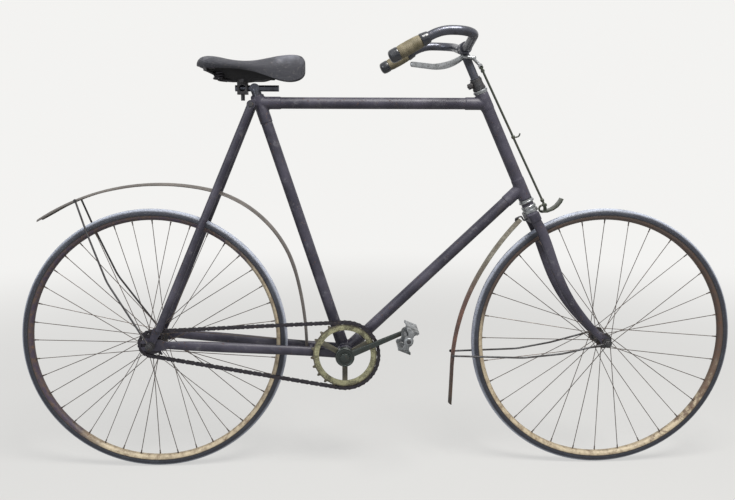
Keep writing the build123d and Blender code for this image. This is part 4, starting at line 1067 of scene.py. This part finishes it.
pedal_spot = (660.93, 383.21)
pedal_turn = radians(68)
pedal_way = Vector((cos(pedal_turn), 0, sin(pedal_turn)))
pedal_up = Vector((-sin(pedal_turn), 0, cos(pedal_turn)))
pedal_centre = place(*pedal_spot, -116.0)
teeth = []
for index in range(13):
    teeth += [(-46 + index * 7.077, 13.0), (-46 + index * 7.077 + 3.5, 16.5)]
teeth.append((46.0, 13.0))
toothed = teeth + [(-y, -rise) for y, rise in teeth]
pieces = []
for way in (-pedal_way, pedal_way):
    spot = pedal_centre + way * 0.029 - pedal_way * 0.0011
    side_plate = stamped("pedal_side", toothed, 2.2)
    pieces.append(laid(side_plate, spot, -across, pedal_up, pedal_way))
    for along in (-30.0, 0.0, 30.0):
        pieces.append(turned("stud", (
            (0, 0), (0, 5.2), (1.0, 5.0), (1.4, 3.4), (1.6, 0),
        ), pedal_centre + way * 0.0301 + across * along / 1000, way, 16, 40))
horns = [
    (31.0, 16.0), (27.0, 17.0), (19.0, 8.0), (12.0, 7.0), (7.0, 10.5), (0.0, 12.0),
    (-7.0, 10.5), (-12.0, 7.0), (-19.0, 8.0), (-27.0, 17.0), (-31.0, 16.0), (-27.5, 6.0),
    (-26.5, 0.0), (-27.5, -6.0),
]
horns += [(-x, -z) for x, z in horns]
for back_y, rivet_y, way in ((-70.0, -70.0, (0, 1, 0)), (-159.0, -162.0, (0, -1, 0))):
    plate = stamped("pedal_end", horns, 3.0, 0.5)
    pieces.append(laid(plate, place(*pedal_spot, back_y), pedal_way, pedal_up, -across))
    for along in (-25.0, 25.0):
        for out in (-12.5, 12.5):
            spot = place(*pedal_spot, rivet_y) + (pedal_way * along + pedal_up * out) / 1000
            rivet = ((0, 0), (0, 2.6), (0.8, 2.1), (1.2, 0))
            pieces.append(turned("rivet", rivet, spot, way, 12, 40))
pieces.append(turned("barrel", (
    (73.0, 5.5), (73.0, 9.0), (84.0, 8.4), (95.0, 7.6), (137.0, 7.6), (148.0, 8.4),
    (159.0, 9.0), (159.0, 5.5),
), place(*pedal_spot), (0, -1, 0), 32))
pieces.append(turned("dust_cap", (
    (162.0, 5.5), (162.0, 10.0), (163.4, 10.0), (164.6, 8.8), (165.2, 6.4), (165.2, 5.5),
), place(*pedal_spot), (0, -1, 0), 32))
pedal_steel = steel_finish(
    "pedal_steel", (0.29, 0.305, 0.32), (0.05, 0.052, 0.052), (0.09, 0.065, 0.045), 0.42,
    0.75, 0.36,
)
fitted(joined("pedal_cage", pieces), "pedal", "dull_steel", pedal_steel, "pedal")
pedal_pin = eased("pedal_pin", "pedal_spindle", 0.6)
fitted(pedal_pin, "crank", "dull_steel", dull_steel, "pedal_spindle")

# Stem and handlebar: a plated tube bent up from the lug and swept back to the grips. The nickel
# is dull and dark, with rust showing near the lug.
bar_lug = steer(851.0, 5.0)
stem = joined("stem_body", [
    brazed("stem_skin", (
        (steer(747.5), steer(851.0), 10.9),
        (bar_lug - across * 0.0235, bar_lug + across * 0.0235, 14.7),
    ), 1.2, 8),
    turned("stem_band", (
        (768.2, 10.6), (768.2, 13.2), (769.0, 13.8), (771.6, 13.8), (772.4, 13.0),
        (772.8, 10.6),
    ), steer(0), steer_up, 40),
    *[turned("lug_ring", (
        (21.5, 11.4), (21.5, 15.2), (22.2, 15.8), (23.6, 15.8), (24.3, 15.0), (24.3, 11.4),
    ), bar_lug, (0, sign, 0), 40) for sign in (-1, 1)],
])
fitted(stem, "steering", "dull_steel", stem_nickel, "stem")
stem_nickel.dress("handlebar")


# Grips: turned cork, hard and brown with age, between glossy black ferrules that are glued and
# pinned on the bar.
def cork_finish():
    finish = Finish("grip_cork")
    wide = finish.noise(46, 5, 0.6)
    grain = finish.noise(420, 6, 0.7, finish.stretched((1.0, 1.6, 1.0)))
    flecks = finish.between(grain, 0.5, 0.62)
    pits = finish.between(finish.cells(430), 0.05, 0.3)
    colour = finish.layered(
        (0.115, 0.098, 0.055), (finish.between(wide, 0.36, 0.66), (0.21, 0.18, 0.115)),
        (flecks * 0.55, (0.07, 0.052, 0.034)), ((1 - pits) * 0.4, (0.05, 0.038, 0.028)),
    )
    finish.surface(colour, 0.5 + wide * 0.2, pits * 0.5 + flecks * -0.3, 0.0005)
    return finish


def ferrule_finish():
    finish = Finish("grip_ferrule")
    wide = finish.noise(60, 6, 0.65)
    fine = finish.noise(380, 5, 0.7)
    dull = finish.between(wide * 0.6 + fine * 0.4, 0.47, 0.62)
    colour = finish.layered((0.006, 0.008, 0.014), (dull, (0.03, 0.032, 0.038)))
    finish.surface(colour, 0.16 + dull * 0.35, fine * 0.4, 0.0002)
    finish.put(finish.shader.inputs["Coat Weight"], 0.5 - dull * 0.4)
    finish.put(finish.shader.inputs["Coat Roughness"], 0.12)
    return finish


grip_forms = {
    # each outline runs along the bar from the front ferrule's start
    "grip": (
        (21.0, 11.4), (21.0, 14.6), (24.0, 15.4), (36.0, 16.2), (52.0, 16.5), (68.0, 16.2),
        (76.0, 15.4), (79.0, 14.6), (79.0, 11.4),
    ),
    "front_ferrule": (
        (0.2, 11.4), (0.2, 12.6), (1.2, 13.6), (8.0, 14.8), (16.0, 16.0), (18.6, 16.3),
        (20.2, 15.9), (20.9, 14.8), (20.9, 11.4),
    ),
    "end_ferrule": (
        (79.1, 0.0), (79.1, 15.0), (79.8, 15.9), (81.4, 16.4), (92.0, 16.4), (97.0, 15.8),
        (100.6, 14.0), (102.8, 10.6), (103.8, 5.4), (104.0, 0.0),
    ),
}
grip_pieces = []
for y in (-0.207, 0.207):
    bend = bar_lug + Vector((-0.0852, y, 0.0233))
    tip = bar_lug + Vector((-0.2012, y, -0.0402))
    outward = (tip - bend).normalized()
    for name, outline in grip_forms.items():
        grip_pieces.append(turned(name, outline, tip - outward * 0.101, outward, ease=40))
grip_bodies = joined("grip_bodies", grip_pieces[::3])
fitted(grip_bodies, "steering", "grip_cork", cork_finish(), "grips")
ferrules = joined("grip_ferrules", grip_pieces[1::3] + grip_pieces[2::3])
fitted(ferrules, "steering", "grip_cork", ferrule_finish())

# Brake: a forged lever still bright with plating, pinned under the bar, and a steel rod with an
# eye at each end that pushes a curved spoon down on the tyre.
lever = eased("brake_lever_forging", "brake_lever", 1.3, 3)
fitted(lever, "steering", "bright_nickel", bright_nickel, "brake_lever")
rod_steel = steel_finish(
    "rod_steel", (0.07, 0.08, 0.065), (0.04, 0.042, 0.032), (0.08, 0.055, 0.032), 0.44,
    0.7, 0.34,
)
rod_top = steer(795.0, 25.0)
rod_foot = steer(395.0, 40.0)
rod_way = (rod_top - rod_foot).normalized()
spoon = stamped("spoon", (
    (1020.0, 690.0), (1034.0, 690.5), (1050.0, 696.5), (1062.0, 705.0), (1071.0, 716.5),
    (1075.5, 726.0), (1072.0, 727.5), (1067.0, 718.5), (1058.5, 708.5), (1047.5, 700.8),
    (1033.0, 695.2), (1020.0, 694.6),
), 34.0, 0.9)
laid(spoon, place(0.0, 0.0, 17.0), level, (0, 0, 1), -across)
picked()
bpy.ops.mesh.primitive_torus_add(
    major_radius=0.0088, minor_radius=0.0028, major_segments=32, minor_segments=10,
)
eye = bpy.context.object
eye.matrix_world = aimed(place(1024.0, 699.5), across)
bpy.ops.object.shade_smooth()
settled(eye)
plunger = joined("brake_rod_forging", [
    bar(rod_top - rod_way * 0.004, rod_foot + rod_way * 0.004, 3.0, 24),
    turned("rod_knuckle", (
        (-7.0, 0), (-7.0, 4.6), (-6.2, 5.6), (6.2, 5.6), (7.0, 4.6), (7.0, 0),
    ), rod_foot, steps=32),
    turned("rod_head", (
        (-7.0, 0), (-7.0, 4.2), (-6.2, 5.0), (6.2, 5.0), (7.0, 4.2), (7.0, 0),
    ), rod_top - rod_way * 0.0053, steps=32),
    bar(rod_foot, place(1030.0, 693.0), 3.4, 16),
    bent("rod_hook", [
        rod_foot + rod_way * 0.1965, place(950.0, 886.5), place(955.5, 889.0),
        place(958.5, 896.0),
    ], 2.0),
    eye,
    spoon,
])
fitted(plunger, "steering", "dull_steel", rod_steel, "brake_plunger")
rod_collars = joined("brake_rod_collars", [
    turned("collar", (
        (at, 2.8), (at, 4.4), (at + 1.0, 5.0), (at + 6.0, 5.0), (at + 7.0, 4.4), (at + 7.0, 2.8),
    ), rod_foot, rod_way, 24)
    for at in (10.0, 194.0, 382.0)
] + nuts(rod_foot, 7.1, 4.6, 3.4))
fitted(rod_collars, "steering", "dull_steel", rod_steel)

# Stage: a plain pale floor that fades into a pale background, one large soft lamp high on the
# right and a weaker one on the left. The floor lies a hair under the tyres.
backdrop = (0.9, 0.895, 0.88)
picked()
bpy.ops.mesh.primitive_plane_add(size=60, location=(0.4, 0, -zero_up / 1000 - 0.0004))
floor = named("floor")
floor_finish = Finish("floor")
floor_finish.surface((0.42, 0.418, 0.41), 0.9)
far = floor_finish.vector("LENGTH", floor_finish.spot, output=1)
fade = floor_finish.between(far, 1.2, 4.0)
seen = floor_finish.node("ShaderNodeLightPath", output="Is Camera Ray")
mirrored = floor_finish.node("ShaderNodeLightPath", output="Is Glossy Ray")
glow = floor_finish.node("ShaderNodeEmission", None, {"Color": backdrop, "Strength": 1.0})
glowing = (fade * 0.37 + 0.63) * (seen + mirrored * 0.35)
lit = Value(floor_finish, floor_finish.shader.outputs[0])
mixed = floor_finish.node("ShaderNodeMixShader", None, {0: glowing, 1: lit, 2: glow})
floor_finish.put(floor_finish.tree.nodes["Material Output"].inputs["Surface"], mixed)
floor.data.materials.append(floor_finish.material)
floor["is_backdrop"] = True

world = bpy.data.worlds.new("studio")
bpy.context.scene.world = world
world.use_nodes = True
sky = world.node_tree
shown = sky.nodes["Background"]
lighting = sky.nodes.new("ShaderNodeBackground")
for node, colour, strength in ((shown, backdrop, 1.0), (lighting, (0.93, 0.96, 1.0), 0.22)):
    node.inputs["Color"].default_value = (*colour, 1)
    node.inputs["Strength"].default_value = strength
path = sky.nodes.new("ShaderNodeLightPath")
share = sky.nodes.new("ShaderNodeMath")
share.operation = "MAXIMUM"
either = sky.nodes.new("ShaderNodeMixShader")
for output, entry in (
    (path.outputs["Is Camera Ray"], share.inputs[0]),
    (path.outputs["Is Glossy Ray"], share.inputs[1]),
    (share.outputs[0], either.inputs[0]),
    (lighting.outputs[0], either.inputs[1]),
    (shown.outputs[0], either.inputs[2]),
    (either.outputs[0], sky.nodes["World Output"].inputs["Surface"]),
):
    sky.links.new(output, entry)

lit_spot = Vector((0.35, 0, -0.45))
for name, spot, energy, size, colour in (
    ("key_lamp", (1.0, -1.4, 2.4), 150.0, 1.5, (1.0, 0.98, 0.94)),
    ("fill_lamp", (-2.2, -2.2, 0.9), 30.0, 2.0, (0.9, 0.95, 1.0)),
):
    lamp = bpy.data.lights.new(name, "AREA")
    lamp.energy = energy
    lamp.size = size
    lamp.color = colour
    lamp_object = bpy.data.objects.new(name, lamp)
    bpy.context.collection.objects.link(lamp_object)
    lamp_object.location = spot
    toward = lit_spot - lamp_object.location
    lamp_object.rotation_euler = toward.to_track_quat("-Z", "Y").to_euler()

# Camera: where the photograph was taken from, a little above the saddle's height and 2.2 m away.
# Its turns and its focal length, in pixels, were fitted to both wheels' outlines.
camera_spot = Vector((0.2779, -2.1654, -0.1597))
yaw, pitch_down, roll = 0.03175, 0.150848, 0.002939
focal_pixels, photo_width, sensor = 830, 735, 36.0
ahead = Vector((sin(yaw) * cos(pitch_down), cos(yaw) * cos(pitch_down), -sin(pitch_down)))
level_right = ahead.cross(Vector((0, 0, 1))).normalized()
level_up = level_right.cross(ahead)
right = level_right * cos(roll) + level_up * sin(roll)
up = level_up * cos(roll) - level_right * sin(roll)
lens = bpy.data.cameras.new("camera")
lens.sensor_width = sensor
lens.lens = sensor * focal_pixels / photo_width
camera = bpy.data.objects.new("camera", lens)
bpy.context.collection.objects.link(camera)
camera.matrix_world = Matrix((right, up, -ahead)).transposed().to_4x4()
camera.location = camera_spot
bpy.context.scene.camera = camera
bpy.context.scene.view_settings.view_transform = "Standard"

low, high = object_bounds()
